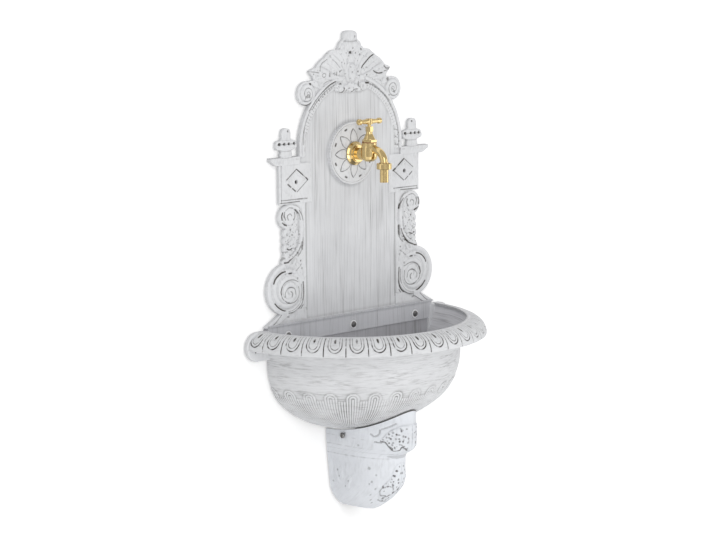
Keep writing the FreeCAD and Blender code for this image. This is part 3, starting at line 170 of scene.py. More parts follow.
def coil(outer, inner, r0, r1, start_deg, turns):
    """A scroll's centre line, from its outside to its eye. Negative turns run clockwise."""
    n = int(abs(turns) * 60)
    t = np.linspace(0, 1, n)
    angle = math.radians(start_deg) + 2 * math.pi * turns * t
    r = r0 + (r1 - r0) * t ** 0.85
    cx = outer[0] + (inner[0] - outer[0]) * t
    cz = outer[1] + (inner[1] - outer[1]) * t
    return np.column_stack([cx + r * np.cos(angle), cz + r * np.sin(angle)])


def blur(a, sigma):
    """Gaussian blur of a grid. Sigma is in cells, one number or one for each direction."""
    for axis, spread in enumerate(np.broadcast_to(sigma, 2)):
        n = int(3 * spread) + 1
        k = np.exp(-0.5 * (np.arange(-n, n + 1) / spread) ** 2)
        k /= k.sum()
        pad = [(n, n) if i == axis else (0, 0) for i in (0, 1)]
        wide = np.pad(a, pad, mode="edge")
        a = sum(w * np.take(wide, np.arange(i, i + a.shape[axis]), axis=axis) for i, w in enumerate(k))
    return a


def scatter(rng, count, x0, width, z0, height):
    """Random places in a box, drawn one by one."""
    for _ in range(count):
        yield x0 + width * rng.random(), z0 + height * rng.random()


def wobble(a, b, seed, size, rise):
    """Gentle unevenness of a casting: a few crossed waves."""
    rng = np.random.default_rng(seed)
    out = np.zeros(np.shape(a))
    for _ in range(7):
        angle = rng.uniform(0, 2 * math.pi)
        wave = size * rng.uniform(0.6, 1.6)
        phase = rng.uniform(0, 6.3)
        out = out + np.sin((a * math.cos(angle) + b * math.sin(angle)) * 2 * math.pi / wave + phase)
    return out * rise / 3


# Meshes


def make_object(name, points, faces, material, **values):
    """A mesh from millimetre points. Each named value is an attribute: a number or vector for each point."""
    mesh = bpy.data.meshes.new(name)
    mesh.from_pydata((np.asarray(points, float) * MM).tolist(), [], [list(map(int, f)) for f in faces])
    mesh.update()
    for key, data in values.items():
        data = np.asarray(data, np.float32)
        kind = "FLOAT" if data.ndim == 1 else "FLOAT_VECTOR"
        attribute = mesh.attributes.new(key, kind, "POINT")
        attribute.data.foreach_set("value" if data.ndim == 1 else "vector", data.ravel())
    mesh.shade_smooth()
    mesh.set_sharp_from_angle(angle=math.radians(SHARP_DEG))
    mesh.materials.append(material)
    obj = bpy.data.objects.new(name, mesh)
    bpy.context.scene.collection.objects.link(obj)
    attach(obj, "fountain")
    return obj


class Relief:
    """A carved sheet on the wall: an outline in X and Z, and how far each spot stands off the wall."""

    # The back's own height map, for a sheet whose back isn't flat
    under = None

    def __init__(self, name, x0, x1, z0, z1, pitch, back=0.25):
        """An empty sheet over a box of X and Z, with the back's distance off the wall."""
        self.name, self.pitch, self.back = name, pitch, back
        self.x = np.arange(x0, x1 + pitch, pitch)
        self.z = np.arange(z0, z1 + pitch, pitch)
        self.X, self.Z = np.meshgrid(self.x, self.z, indexing="ij")
        self.H = np.full(self.X.shape, 1.0)
        self.sd = np.full(self.X.shape, 1e3)
        self.dark_wash_and_shade = np.zeros(self.X.shape)

    def lift(self, where, height):
        """Brings the spots in where up to at least the given height."""
        self.H = np.where(where, np.maximum(self.H, height), self.H)

    def pad(self, sd, top, edge, start):
        """Lifts an area to top, with an edge that rounds up from start."""
        self.lift(sd < 0, start + (top - start) * swell(-sd / edge))

    def cover(self, sd, top, edge=1.0, start=None):
        """Adds an area to the outline and lifts it to top, with a rounded edge."""
        self.sd = np.minimum(self.sd, sd)
        self.pad(sd, top, edge, top - edge if start is None else start)

    def near(self, points, reach):
        """Distance to a run of points and place along it, for the cells within reach."""
        lo, hi = points.min(0) - reach, points.max(0) + reach
        mask = (self.X > lo[0]) & (self.X < hi[0]) & (self.Z > lo[1]) & (self.Z < hi[1])
        px, pz = self.X[mask], self.Z[mask]
        best = np.full(px.shape, 1e9)
        at = np.zeros(px.shape)
        n = max(1, len(points) - 1)
        for i, (x, z) in enumerate(points):
            d = (px - x) ** 2 + (pz - z) ** 2
            closer = d < best
            best = np.where(closer, d, best)
            at = np.where(closer, i / n, at)
        return mask, np.sqrt(best), at

    def ridge(self, points, width, rise, base, ends=(1, 1), power=0.5):
        """A raised moulding along a curve. Width tapers to the given shares at its two ends."""
        mask, d, t = self.near(np.asarray(points), width)
        first, last = (end + (1 - end) * smooth(part / 0.3) for end, part in zip(ends, (t, 1 - t)))
        half = width * first * last
        u = np.clip(d / half, 0, 1)
        lift = np.where(u < 1, base + rise * (half / width) ** 0.5 * (1 - u * u) ** power, 0)
        self.H[mask] = np.maximum(self.H[mask], lift)

    def groove(self, points, width, depth, dark_wash_and_shade=None):
        """A cut along a run of points, darkened in it as dark wash and painted shade."""
        mask, d, _ = self.near(np.asarray(points, float), width)
        cut = hump(d / width)
        self.H[mask] -= depth * cut
        self.dark_wash_and_shade[mask] = np.maximum(self.dark_wash_and_shade[mask], (0.2 * depth if dark_wash_and_shade is None else dark_wash_and_shade) * cut)

    def line(self, points, width, dark_wash_and_shade, depth=0.8):
        """A groove along the smooth curve through a few points."""
        self.groove(curve(points, 0.5), width, depth, dark_wash_and_shade)

    def blob(self, x, z, a, b, turn, top, base):
        """An oval bead that rises from base to top."""
        sd = oval_sd(self.X, self.Z, x, z, a, b, turn) / min(a, b) + 1
        self.lift(sd < 1, base + (top - base) * dome(sd))

    def pit(self, x, z, r, dark_wash_and_shade, depth=1.2):
        """A round hole, darkened in it as wash and painted shade."""
        d = np.hypot(self.X - x, self.Z - z) / r
        self.H -= depth * np.clip(1 - d ** 3, 0, 1)
        self.dark_wash_and_shade = np.maximum(self.dark_wash_and_shade, dark_wash_and_shade * hump(d))

    def leaf(self, points, width, rise, base, veins=0, ends=(0.35, 0.12)):
        """A leaf with a centre rib groove and slanting side veins."""
        run = curve(points)
        self.ridge(run, width, rise, base, ends, 0.6)
        self.groove(run[2:-3], 0.9, 0.5)
        for i in range(veins):
            k = int((i + 1) / (veins + 1) * (len(run) - 4)) + 1
            along = run[k + 2] - run[k]
            along = along / (np.hypot(*along) + 1e-9)
            across = np.array([-along[1], along[0]])
            for side in SIDES:
                tip = run[k] + (along * 0.8 + across * side) * width * 0.8
                self.groove(curve([run[k], tip], 0.5), 0.7, 0.4)

    def mirrored(self):
        """The same piece on the other side of the middle plane."""
        other = Relief.__new__(Relief)
        other.name = self.name.replace("right", "left")
        other.pitch, other.back = self.pitch, self.back
        other.x, other.z = -self.x[::-1], self.z
        other.X, other.Z = np.meshgrid(other.x, other.z, indexing="ij")
        other.H, other.sd, other.dark_wash_and_shade = self.H[::-1].copy(), self.sd[::-1].copy(), self.dark_wash_and_shade[::-1].copy()
        return other

    def mesh(self, material, hollows):
        """Front, back and edges of the cells inside the outline. Hollows gives the soft wash and painted
        shade in hollows, and the painted highlight on raised edges, at X and Z.
        """
        sd = self.sd
        kept = (sd[:-1, :-1] + sd[1:, :-1] + sd[:-1, 1:] + sd[1:, 1:]) < 0
        padded = np.pad(kept, 1).astype(int)
        cells = padded[:-1, :-1] + padded[1:, :-1] + padded[:-1, 1:] + padded[1:, 1:]
        used = cells > 0
        edge = used & (cells < 4)
        gx, gz = np.gradient(sd, self.pitch)
        size = np.hypot(gx, gz) + 1e-6
        limit = np.clip(sd, -1.1 * self.pitch, 1.1 * self.pitch)
        X = np.where(edge, self.X - limit * gx / size, self.X)
        Z = np.where(edge, self.Z - limit * gz / size, self.Z)
        front = np.column_stack([X[used], -np.maximum(self.H, self.back + LEAST_WALL)[used], Z[used]])
        back = front.copy()
        back[:, 1] = -self.back if self.under is None else -self.under[used]
        points = np.vstack([front, back])

        count = len(front)
        index = np.full(sd.shape, -1)
        index[used] = np.arange(count)
        i, j = np.nonzero(kept)
        a, b, c, d = index[i, j], index[i + 1, j], index[i + 1, j + 1], index[i, j + 1]
        faces = [np.column_stack([a, b, c, d]), np.column_stack([d, c, b, a]) + count]
        for p, q, si, sj in ((a, b, 0, -1), (b, c, 1, 0), (c, d, 0, 1), (d, a, -1, 0)):
            open_side = padded[i + 1 + si, j + 1 + sj] == 0
            p, q = p[open_side], q[open_side]
            faces.append(np.column_stack([q, p, p + count, q + count]))

        # Soft wash and painted shade where a place is hollow, painted highlight where it stands out, and the
        # drawn marks' wash and painted shade.
        soft = np.clip(WASH_AND_SHADE_SHARE * hollows(front[:, 0], front[:, 2]), *WASH_AND_SHADE_LIMITS)
        drawn = np.clip(MARK_SHARE * self.dark_wash_and_shade[used], 0, MARK_MOST)
        patina = np.concatenate([soft + drawn, np.zeros(count)])
        return make_object(self.name, points, np.vstack(faces), material, patina=patina, grain=points * MM)


def pair(method, points, *args, **kwargs):
    """Carves with points given for the right, and with their mirror image on the left."""
    for sign in SIDES:
        method([(sign * x, z) for x, z in points], *args, **kwargs)


# Materials


def nodes_of(name):
    """A new material and its empty node tree."""
    material = bpy.data.materials.new(name)
    material.use_nodes = True
    tree = material.node_tree
    tree.nodes.clear()
    return material, tree


def add(tree, kind, **settings):
    """A new node. Settings that start with in_ set its inputs, and the others its own values."""
    node = tree.nodes.new(kind)
    for key, value in settings.items():
        if key.startswith("in_"):
            node.inputs[key[3:].replace("_", " ")].default_value = value
        else:
            setattr(node, key, value)
    return node


def finish_tree(tree, surface, kind="ShaderNodeOutputMaterial"):
    """Ends a node tree with its surface."""
    tree.links.new(surface, add(tree, kind).inputs[0])


def ramp(tree, source, stops):
    """Grey levels or colours at places along the source's value."""
    node = add(tree, "ShaderNodeValToRGB")
    elements = node.color_ramp.elements
    while len(elements) < len(stops):
        elements.new(0.5)
    for element, (place, colour) in zip(elements, stops):
        element.position = place
        element.color = colour if isinstance(colour, tuple) else (colour, colour, colour, 1)
    tree.links.new(source, node.inputs[0])
    return node.outputs[0]


def maths(tree, operation, a, b, clamp=False):
    """A sum or product of two numbers or outputs."""
    node = add(tree, "ShaderNodeMath", operation=operation, use_clamp=clamp)
    for socket, value in zip(node.inputs, (a, b)):
        if isinstance(value, (int, float)):
            socket.default_value = value
        else:
            tree.links.new(value, socket)
    return node.outputs[0]


def blend(tree, factor, a, b):
    """Colour a where the factor is 0 and b where it is 1."""
    node = add(tree, "ShaderNodeMix", data_type="RGBA")
    for socket, value in ((node.inputs[0], factor), (node.inputs[6], a), (node.inputs[7], b)):
        if isinstance(value, (tuple, float)):
            socket.default_value = value
        else:
            tree.links.new(value, socket)
    return node.outputs[2]


def bumpy(tree, shader, height, strength, distance):
    """Fine unevenness on a shader's surface, with distance in metres."""
    bump = add(tree, "ShaderNodeBump", in_Strength=strength, in_Distance=distance)
    tree.links.new(height, bump.inputs["Height"])
    tree.links.new(bump.outputs[0], shader.inputs["Normal"])


WHITE, WORN = srgb(229, 230, 232), srgb(219, 220, 222)
# The brown of the hollows is grey wash and painted shade; the last grey is painted shade laid over a whole
# part.
STREAK_GREY, WASH_AND_SHADE_BROWN, SHADE_GREY = srgb(126, 124, 124), srgb(70, 66, 62), srgb(122, 120, 121)


def paint(name, across, along, streak, light, shade, darken=0.0):
    """Antique white paint with a thin grey wash that stays in hollows and drags along the grain. Hollows also
    take painted shade, raised edges painted highlight, and darken greys the whole coat as painted shade.
    """
    material, tree = nodes_of(name)
    link = tree.links.new
    grain = add(tree, "ShaderNodeAttribute", attribute_name="grain").outputs["Vector"]
    patina = add(tree, "ShaderNodeAttribute", attribute_name="patina").outputs["Fac"]

    def noise(scale, detail, rough):
        mapping = add(tree, "ShaderNodeMapping", in_Scale=scale)
        link(grain, mapping.inputs["Vector"])
        node = add(tree, "ShaderNodeTexNoise", in_Scale=1.0, in_Detail=detail, in_Roughness=rough)
        link(mapping.outputs[0], node.inputs["Vector"])
        return node.outputs["Fac"]

    fine = noise((across, across, along), 4.0, 0.62)
    coarse = noise((across * 0.23, across * 0.23, along * 0.6), 3.0, 0.55)
    cloud = noise((14, 14, 14), 3.0, 0.5)
    speck = noise((420, 420, 420), 2.0, 0.6)

    drag = ramp(tree, fine, [(0.44, 0.0), (0.72, 1.0)])
    patch = ramp(tree, coarse, [(0.42, 0.15), (0.68, 1.0)])
    streaks = maths(tree, "MULTIPLY", maths(tree, "MULTIPLY", drag, patch), streak, True)
    body = blend(tree, ramp(tree, cloud, [(0.35, 0.0), (0.7, 1.0)]), light, shade)
    coat = blend(tree, streaks, body, STREAK_GREY)

    # Hollows turn brown, broken by specks: grey wash and painted shade.
    broken = maths(tree, "ADD", 0.55, maths(tree, "MULTIPLY", speck, 0.9))
    hollow = maths(tree, "MULTIPLY", patina, broken, True)
    coat = blend(tree, ramp(tree, hollow, [(0.03, 0.0), (1.0, 1.0)]), coat, WASH_AND_SHADE_BROWN)
    # Raised edges turn white: rubbed paint and painted highlight.
    edge = maths(tree, "MULTIPLY", patina, -1.1, True)
    coat = blend(tree, ramp(tree, edge, [(0.05, 0.0), (0.9, 0.75)]), coat, WHITE)
    # A whole part greyed as painted shade.
    if darken:
        coat = blend(tree, darken, coat, SHADE_GREY)

    shader = add(tree, "ShaderNodeBsdfPrincipled", in_Specular_IOR_Level=0.35)
    link(coat, shader.inputs["Base Color"])
    link(ramp(tree, fine, [(0.3, 0.42), (0.7, 0.6)]), shader.inputs["Roughness"])
    height = maths(tree, "ADD", maths(tree, "MULTIPLY", fine, 0.6), maths(tree, "MULTIPLY", speck, 0.4))
    bumpy(tree, shader, height, 0.35, 0.0006)
    finish_tree(tree, shader.outputs[0])
    return material


def plain(name, colour, metallic, rough, vary, scale, bump):
    """Metal, rubber or fibre with slight colour and gloss changes."""
    material, tree = nodes_of(name)
    link = tree.links.new
    place = add(tree, "ShaderNodeTexCoord")
    noise = add(tree, "ShaderNodeTexNoise", in_Scale=scale, in_Detail=3.0, in_Roughness=0.6)
    link(place.outputs["Object"], noise.inputs["Vector"])
    cloud = noise.outputs["Fac"]
    shader = add(tree, "ShaderNodeBsdfPrincipled", in_Metallic=metallic)
    darker = tuple(c * 0.8 for c in colour[:3]) + (1.0,)
    tint = blend(tree, ramp(tree, cloud, [(0.35, 0.0), (0.75, 1.0)]), colour, darker)
    gloss = ramp(tree, cloud, [(0.3, max(0.02, rough - vary)), (0.7, rough + vary)])
    link(tint, shader.inputs["Base Color"])
    link(gloss, shader.inputs["Roughness"])
    bumpy(tree, shader, cloud, bump, 0.0002)
    finish_tree(tree, shader.outputs[0])
    return material


PANEL_PAINT = paint("panel_paint", 660, 13, 0.72, srgb(224, 225, 227), srgb(213, 214, 216))
# The flange, low inside the basin, has greyer paint as painted shade.
FLANGE_SHADED_PAINT = paint("flange_shaded_paint", 520, 15, 0.6, srgb(214, 215, 219), srgb(204, 205, 209), 0.08)
CARVED_PAINT = paint("carved_paint", 300, 120, 0.3, WHITE, WORN)
RIM_PAINT = paint("rim_paint", 380, 90, 0.4, WHITE, WORN)
BOWL_PAINT = paint("bowl_paint", 380, 42, 0.85, WHITE, WORN)
# The bowl's inside has paint lighter than its outside, as painted light against the shade in the basin.
LINER_LIT_PAINT = paint("liner_lit_paint", 420, 16, 0.9, srgb(234, 234, 237), srgb(222, 222, 226))
# The basin's back wall has grey paint as painted shadow.
BACK_SHADED_PAINT = paint("basin_back_shaded_paint", 420, 16, 1.0, srgb(204, 204, 208), srgb(188, 188, 192), 0.16)
# The console's bluish white is lighter than the other castings' paint, as painted light.
CONSOLE_LIT_PAINT = paint("console_lit_paint", 200, 60, 0.25, srgb(234, 237, 242), srgb(226, 229, 234))
BRASS = plain("polished_brass", srgb(222, 196, 140), 1.0, 0.13, 0.04, 260, 0.02)
BRASS_INNER = plain("turned_brass", srgb(222, 194, 136), 1.0, 0.22, 0.05, 500, 0.05)
STEEL = plain("zinc_plated_steel", srgb(128, 127, 126), 1.0, 0.34, 0.08, 900, 0.1)
WASHER = plain("pale_washer", srgb(250, 250, 251), 0.0, 0.45, 0.05, 900, 0.1)
RUBBER = plain("black_rubber", srgb(30, 30, 31), 0.0, 0.7, 0.08, 700, 0.1)
FIBRE = plain("red_fibre", srgb(128, 44, 30), 0.0, 0.75, 0.08, 1400, 0.2)
PACKING = plain("graphite_packing", srgb(52, 52, 54), 0.0, 0.65, 0.08, 1600, 0.3)
PLASTIC = plain("black_plastic", srgb(38, 38, 40), 0.0, 0.42, 0.06, 500, 0.08)


# Back panel


# The open pocket behind the rosette, and how thick the rosette stays over it
POCKET_R, POCKET_DEPTH, POCKET_WALL = 42.0, 10.6, 2.0

# Half widths of the plate's middle part and of its parts behind the columns, and the place of its strips
FIELD_W, WING_W = 106, 141
STRIP_IN, STRIP_OUT = 99.5, 104.5


def field():
    """The flat plate behind everything, with its drawn frame beside the columns."""
    r = Relief("panel_field", -144, 144, -225, 165, 1.45, 0.0)
    X, Z = r.X, r.Z
    side = np.abs(X)
    outline = np.minimum(box_sd(X, Z, -FIELD_W, FIELD_W, PANEL_FOOT, 45), circle_sd(X, Z, 0, ARCH_Z, ARCH_R))
    outline = np.minimum(outline, box_sd(side, Z, 100, WING_W, -203, -34))
    outline = np.maximum(outline, POCKET_R - np.hypot(X, Z - TAP_Z))
    r.cover(outline, PLATE_H, 0.6)
    r.pad(box_sd(side, Z, STRIP_IN, STRIP_OUT, -200, -36), PLATE_H + 0.8, 1.2, PLATE_H)
    pair(r.line, [(STRIP_IN - 0.9, -205), (STRIP_IN - 0.9, -36)], 1.9, 0.16, 0.5)
    r.H += wobble(X, Z, 3, 90, 0.10) * (outline < -3)
    return r


def block():
    """The square beside the tap: a diamond drawn in thin worn lines round the wall screw's hole."""
    r = Relief("block_right", 84, 156, -35, 30, 0.55)
    X, Z = r.X, r.Z
    r.cover(box_sd(X, Z, 86, 155, -33.5, 29), 5.9, 1.6, 5.0)
    face = box_sd(X, Z, 80, 150.5, -27.0, 35)
    r.lift(face < 0, 5.0 + 1.9 * smooth((X - 86) / 16) * swell(-face / 0.9))

    # The lozenge: its middle, half width and half height, and how far its sides are from its middle
    x, z, half_w, half_h, to_side = 119.3, 2.4, 24.2, 18.2, 14.5
    lozenge = (np.abs(X - x) / half_w + np.abs(Z - z) / half_h - 1) * to_side
    for inset, half, rise in ((1.6, 1.5, 0.7), (5.6, 1.1, 0.5)):
        r.H += rise * dome((lozenge + inset) / half)
    left, right, top, low = (x - half_w, z), (x + half_w, z), (x, z + half_h), (x, z - half_h)
    worn = ((left, top, 0.0, 0.16, 1.9, 0.8), (left, top, 0.2, 1.0, 1.2, 0.4),
            (left, top, 0.45, 0.95, 1.6, 0.7), (top, right, 0.0, 0.85, 1.2, 0.5),
            (left, low, 0.05, 0.95, 1.2, 0.5), (low, right, 0.1, 0.36, 1.5, 0.6),
            (low, right, 0.5, 0.74, 1.8, 0.55))
    for (ax, az), (bx, bz), t0, t1, width, dark_wash_and_shade in worn:
        r.line([(ax + (bx - ax) * t, az + (bz - az) * t) for t in (t0, t1)], width, dark_wash_and_shade, 0.5)

    r.blob(SCREW_X, 0, 6.5, 6.0, 0, 7.4, 6.8)
    # The screw's hole is dark inside: a painted shadow.
    r.pit(SCREW_X, 0.4, 3.4, 1.0, 6.4)
    r.line([(100, -26.8), (150.5, -26.8)], 1.1, 0.34)
    r.line([(96, -27.2), (116, -27.0)], 1.2, 0.3)
    r.line([(150.5, -26.4), (150.5, 28)], 0.8, 0.14, 0.4)
    r.line([(150.5, -26), (150.5, -31)], 1.0, 0.4)
    r.line([(112, -30.8), (154, -31.2)], 1.0, 0.5)
    return r


def cap():
    """The flaring slab on the block."""
    r = Relief("cap_right", 109, 177, 26, 43, 0.5)
    X, Z = r.X, r.Z
    sd = polygon_sd(X, Z, [(111.5, 28), (161, 28), (165, 29.2), (169, 31.8), (173.2, 34.6), (175, 36.2),
                           (175, 41), (111.5, 41)])
    r.cover(sd, 7.6, 1.4, 6.6)
    over = 6.9 + 2.4 * smooth((Z - 28.0) / 9.0) * smooth((X - 148) / 5)
    r.lift(sd < 0, over - 1.2 * (1 - swell(-sd / 1.2)))
    r.line([(112, 40.4), (175, 40.4)], 1.5, 0.34, 0.3)
    r.line([(112, 36.5), (120, 37.5)], 3.2, 0.22, 0.3)
    return r


def finial():
    """The little crown on the cap: a collar with deep round holes and a plain knob."""
    r = Relief("finial_right", 116, 163, 39, 88, 0.5)
    X, Z = r.X, r.Z
    middle = 139.5
    half = [(12.5, 40), (12.5, 46), (11.0, 49.5), (12.5, 51.5), (20.5, 53.5), (21.8, 57), (21.8, 63),
            (20.0, 66), (10.5, 68.5), (9.4, 71), (9.8, 75), (9.6, 80), (8.0, 83.5), (5.0, 85.6), (1.0, 86.2)]
    outline = [(middle + w, z) for w, z in half] + [(middle - w, z) for w, z in reversed(half)]
    sd = polygon_sd(X, Z, outline)
    r.cover(sd, 6.4, 2.2, 3.0)
    width = np.interp(Z, [z for _, z in half], [w for w, _ in half])
    round_off = 4.4 + 3.6 * dome((X - middle) / (width + 0.5))
    r.lift(sd < 0, round_off)
    for k in range(-4, 5):
        r.blob(middle + 4.9 * k, 58.4, 2.6, 4.2, 0, 8.8 - 0.1 * k * k, 6.2)
    for half_w, z, width, dark_wash_and_shade, depth in ((12, 50.2, 1.3, 0.14, 0.6), (9, 67.4, 1.2, 0.16, 0.5),
                                         (20, 61.3, 1.2, 0.3, 0.8)):
        r.line([(middle - half_w, z), (middle + half_w, z)], width, dark_wash_and_shade, depth)
    for x, size, dark_wash_and_shade in ((-16.5, 3.0, 0.85), (-4.5, 2.6, 0.85), (5, 2.8, 0.8), (14.5, 3.0, 0.9)):
        r.pit(middle + x, 61.6, size, dark_wash_and_shade, 3.0)
    r.pit(middle - 2.5, 81.4, 2.4, 0.6, 1.2)
    return r


# Dark marks, partly wash in cuts and partly painted shadow in notches and holes: a stroke's points, half
# width and darkness, or a dot's place, radius and darkness
STROKES = (
    ([(-92, 110), (-86, 116.5), (-78, 125.5), (-68, 134.5), (-58, 142), (-48, 148.6), (-40, 152),
      (-33, 154)], 1.2, 0.7),
    ([(-60, 140.5), (-50, 147.5), (-40, 152), (-34, 154)], 1.4, 0.9),
    ([(-84, 112), (-76, 122), (-66, 131), (-57, 138), (-46, 144), (-35, 149)], 1.1, 0.5),
    ([(-104, 58), (-102.5, 75), (-100, 90), (-95, 100), (-91, 108)], 1.0, 0.42),
    ([(-119, 45), (-119.4, 58), (-118.6, 70)], 1.4, 0.5),
    ([(32, 149.2), (39, 148.8)], 1.8, 0.95),
    ([(41, 147), (47, 145), (52, 142.2), (60, 138.4), (66, 134.2), (76, 127.5), (86, 118)], 1.2, 0.36),
    ([(-27, 149.5), (-21.5, 149.8)], 1.6, 0.7),
    ([(-24.5, 136), (-20, 136.3), (-16.5, 139), (-15, 142.5)], 1.5, 0.9),
    ([(-8, 142), (-3, 142)], 1.0, 0.3),
    ([(0, 136), (4, 137), (8, 140), (13.5, 140.3)], 1.2, 0.65),
    ([(17.5, 152), (17.2, 146), (20, 142.5)], 1.2, 0.4),
    ([(21.5, 139.5), (25, 136.5), (29, 137.2), (33, 138.5)], 1.4, 0.6),
    ([(-33, 145), (-29, 142.5), (-27, 138)], 1.1, 0.25),
    ([(96, 71), (104, 68.5)], 1.2, 0.4),
    ([(98, 60), (104, 56)], 1.2, 0.4),
    ([(98, 48), (104, 43)], 1.2, 0.45),
    ([(101, 33), (106, 35.5), (111, 38)], 1.5, 0.75),
    ([(-101, 33), (-104, 37), (-110, 39), (-118, 40)], 1.5, 0.6),
)
DOTS = (
    (-69, 126, 1.9, 0.75), (-61, 131, 1.6, 0.5), (-57, 135, 2.0, 0.7), (-50, 138, 1.6, 0.4),
    (-45, 141, 2.2, 0.5), (-41, 144, 1.6, 0.4), (43, 146.3, 1.7, 0.5), (55, 141, 1.8, 0.5),
    (66, 134, 1.8, 0.55), (70, 131.5, 1.6, 0.4), (76, 126.5, 1.9, 0.5), (85, 127, 1.9, 0.45),
    (-10, 139.5, 1.6, 0.5), (1.5, 136.3, 1.8, 0.6), (26, 143, 1.3, 0.3), (96, 71, 2.3, 0.65),
    (99, 58, 2.3, 0.65), (100, 46, 2.5, 0.75), (107, 64.5, 1.6, 0.35), (105, 61, 1.4, 0.3),
    (108, 50, 1.8, 0.35), (105, 45, 1.8, 0.4),
)


def mark(r, strokes, dots, depth=1.2, sides=(1,)):
    """Dark strokes and dots on a carved sheet, partly dark wash and partly painted shade, as they are given
    or on both sides.
    """
    for sign in sides:
        for points, width, dark_wash_and_shade in strokes:
            r.line([(sign * x, z) for x, z in points], width, dark_wash_and_shade)
        for x, z, size, dark_wash_and_shade in dots:
            r.pit(sign * x, z, size, dark_wash_and_shade, depth)


def arch():
    """Moulding round the top: a smooth outer band and a thinner notched one inside it."""
    r = Relief("panel_arch", -116, 116, 38, 167, 0.78)
    X, Z = r.X, r.Z
    above = Z > ARCH_Z
    rho = np.where(above, np.hypot(X, Z - ARCH_Z), np.abs(X))
    along = np.where(above, np.arctan2(Z - ARCH_Z, np.abs(X)) * 104, Z - ARCH_Z)
    inner_r, outer_r, low_z = 96.5, 113.5, 39.5
    sd = np.maximum(np.maximum(rho - outer_r, inner_r - rho), low_z - Z)
    sd = np.maximum(sd, np.where(above, 31 - np.abs(X), -99))
    r.cover(sd, 6.0, 1.6, 5.0)
    inside = sd < 0
    for centre, half, low, rise in ((110.6, 3.0, 7.0, 1.3), (103.6, 2.9, 6.2, 0.9)):
        off = rho - centre
        r.lift(inside & (np.abs(off) < half), low + rise * dome(off / half))
    groove = hump((rho - 107.2) / 0.9) * inside
    teeth = np.clip(np.cos(along * 2 * math.pi / 5.4) * 3 - 1.8, 0, 1) * inside
    teeth = teeth * (rho < 106.4) * (rho > 98) * (Z > 75)
    r.H -= 0.5 * groove
    r.H -= 0.5 * teeth
    r.dark_wash_and_shade += 0.22 * groove
    # The teeth are darker on the left half, as painted shade on their sides.
    r.dark_wash_and_shade += teeth * np.where(X < 0, 0.26, 0.14)
    zigzag = np.abs(((along / 12.6 + 0.2) % 1) - 0.5) * 2
    notch = smooth((99.5 + 3.4 * zigzag - rho) / 1.5)
    r.H = np.where(inside & (Z < 76) & (rho < 106.8), r.H - 0.9 * notch, r.H)
    mark(r, STROKES, DOTS)
    r.H = np.maximum(r.H, 4.4)
    return r


# Middles of the two volutes on the right
UPPER_VOLUTE, LOWER_VOLUTE = (138, -54), (143, -168)

# Marks on the column, as those above; some are painted shadow beside the C-scroll and in notches.
COLUMN_STROKES = (
    ([(110.5, -60), (110, -50), (113.5, -43), (119, -38), (128, -35.2)], 1.0, 0.4),
    ([(106.8, -61), (109.6, -53), (115.5, -45)], 1.8, 0.7),
    ([(113.4, -60), (115, -52), (118.5, -47), (124, -42.5)], 1.2, 0.55),
    ([(150.4, -46), (152.4, -51), (151.8, -57)], 1.8, 0.85),
    ([(142.5, -66.5), (147, -64.6), (151, -62)], 1.8, 0.75),
    ([(129, -40), (137, -39), (144, -43)], 1.3, 0.3),
    ([(146.2, -45), (147, -51), (144.6, -57.5)], 1.4, 0.5),
    ([(131.5, -52), (134, -49), (138.5, -49.6), (140.4, -53.5), (138.6, -58)], 1.0, 0.4),
    ([(125.5, -47), (124.5, -53), (127, -59)], 1.5, 0.5),
    ([(110.5, -95), (114, -103.5), (121, -112.5), (128.5, -119)], 1.4, 0.85),
    ([(128.5, -119), (136, -122.7), (146, -126)], 1.4, 0.7),
    ([(140, -125), (147, -125.5)], 2.0, 0.75),
    ([(107.2, -90), (107.4, -99), (108.4, -107)], 2.6, 0.5),
    ([(108.4, -107), (112, -113), (117, -117.5)], 1.4, 0.3),
    ([(131, -104), (137, -105.6), (142, -103.4)], 1.5, 0.6),
    ([(140, -108.6), (147, -108.2)], 1.6, 0.35),
    ([(132.4, -143.4), (137.6, -143.4)], 1.6, 0.75),
    ([(110, -131), (116, -135.5), (122, -140)], 1.2, 0.25),
    ([(146, -118.4), (152, -121)], 2.2, 0.3),
    ([(146, -139.4), (153, -140.8), (161, -145), (167, -150.5), (169.6, -156)], 1.6, 0.9),
    ([(167.5, -188.5), (161, -195), (153, -200), (145, -203)], 1.4, 0.8),
    ([(107.2, -160), (106.4, -175), (107.8, -188), (112, -196.5), (119, -202), (128, -206),
      (140, -206.6)], 1.7, 0.6),
    ([(110.6, -163), (110, -175), (112.6, -187), (119, -196.4), (128, -202), (140, -204)], 1.0, 0.4),
    ([(119, -158.4), (127, -154.8), (137, -153.8), (147, -157), (153.4, -163.5), (155.4, -171),
      (153.4, -180), (149.6, -185)], 1.1, 0.55),
    ([(153, -163), (155.6, -171), (154.6, -175)], 1.7, 0.7),
    ([(118.4, -166), (117.6, -178), (122, -186.4), (130, -190.6), (140, -190.4),
      (147.5, -186)], 1.1, 0.5),
    ([(124.4, -178), (126.4, -169.4), (132.5, -165.8), (141, -167), (146.4, -173),
      (146.4, -180)], 1.0, 0.45),
    ([(132.5, -181), (131.4, -175.5), (135, -172.4)], 1.3, 0.45),
    ([(107.5, -197), (115, -205.6), (126, -209.4), (141, -210.6)], 1.1, 0.5),
)
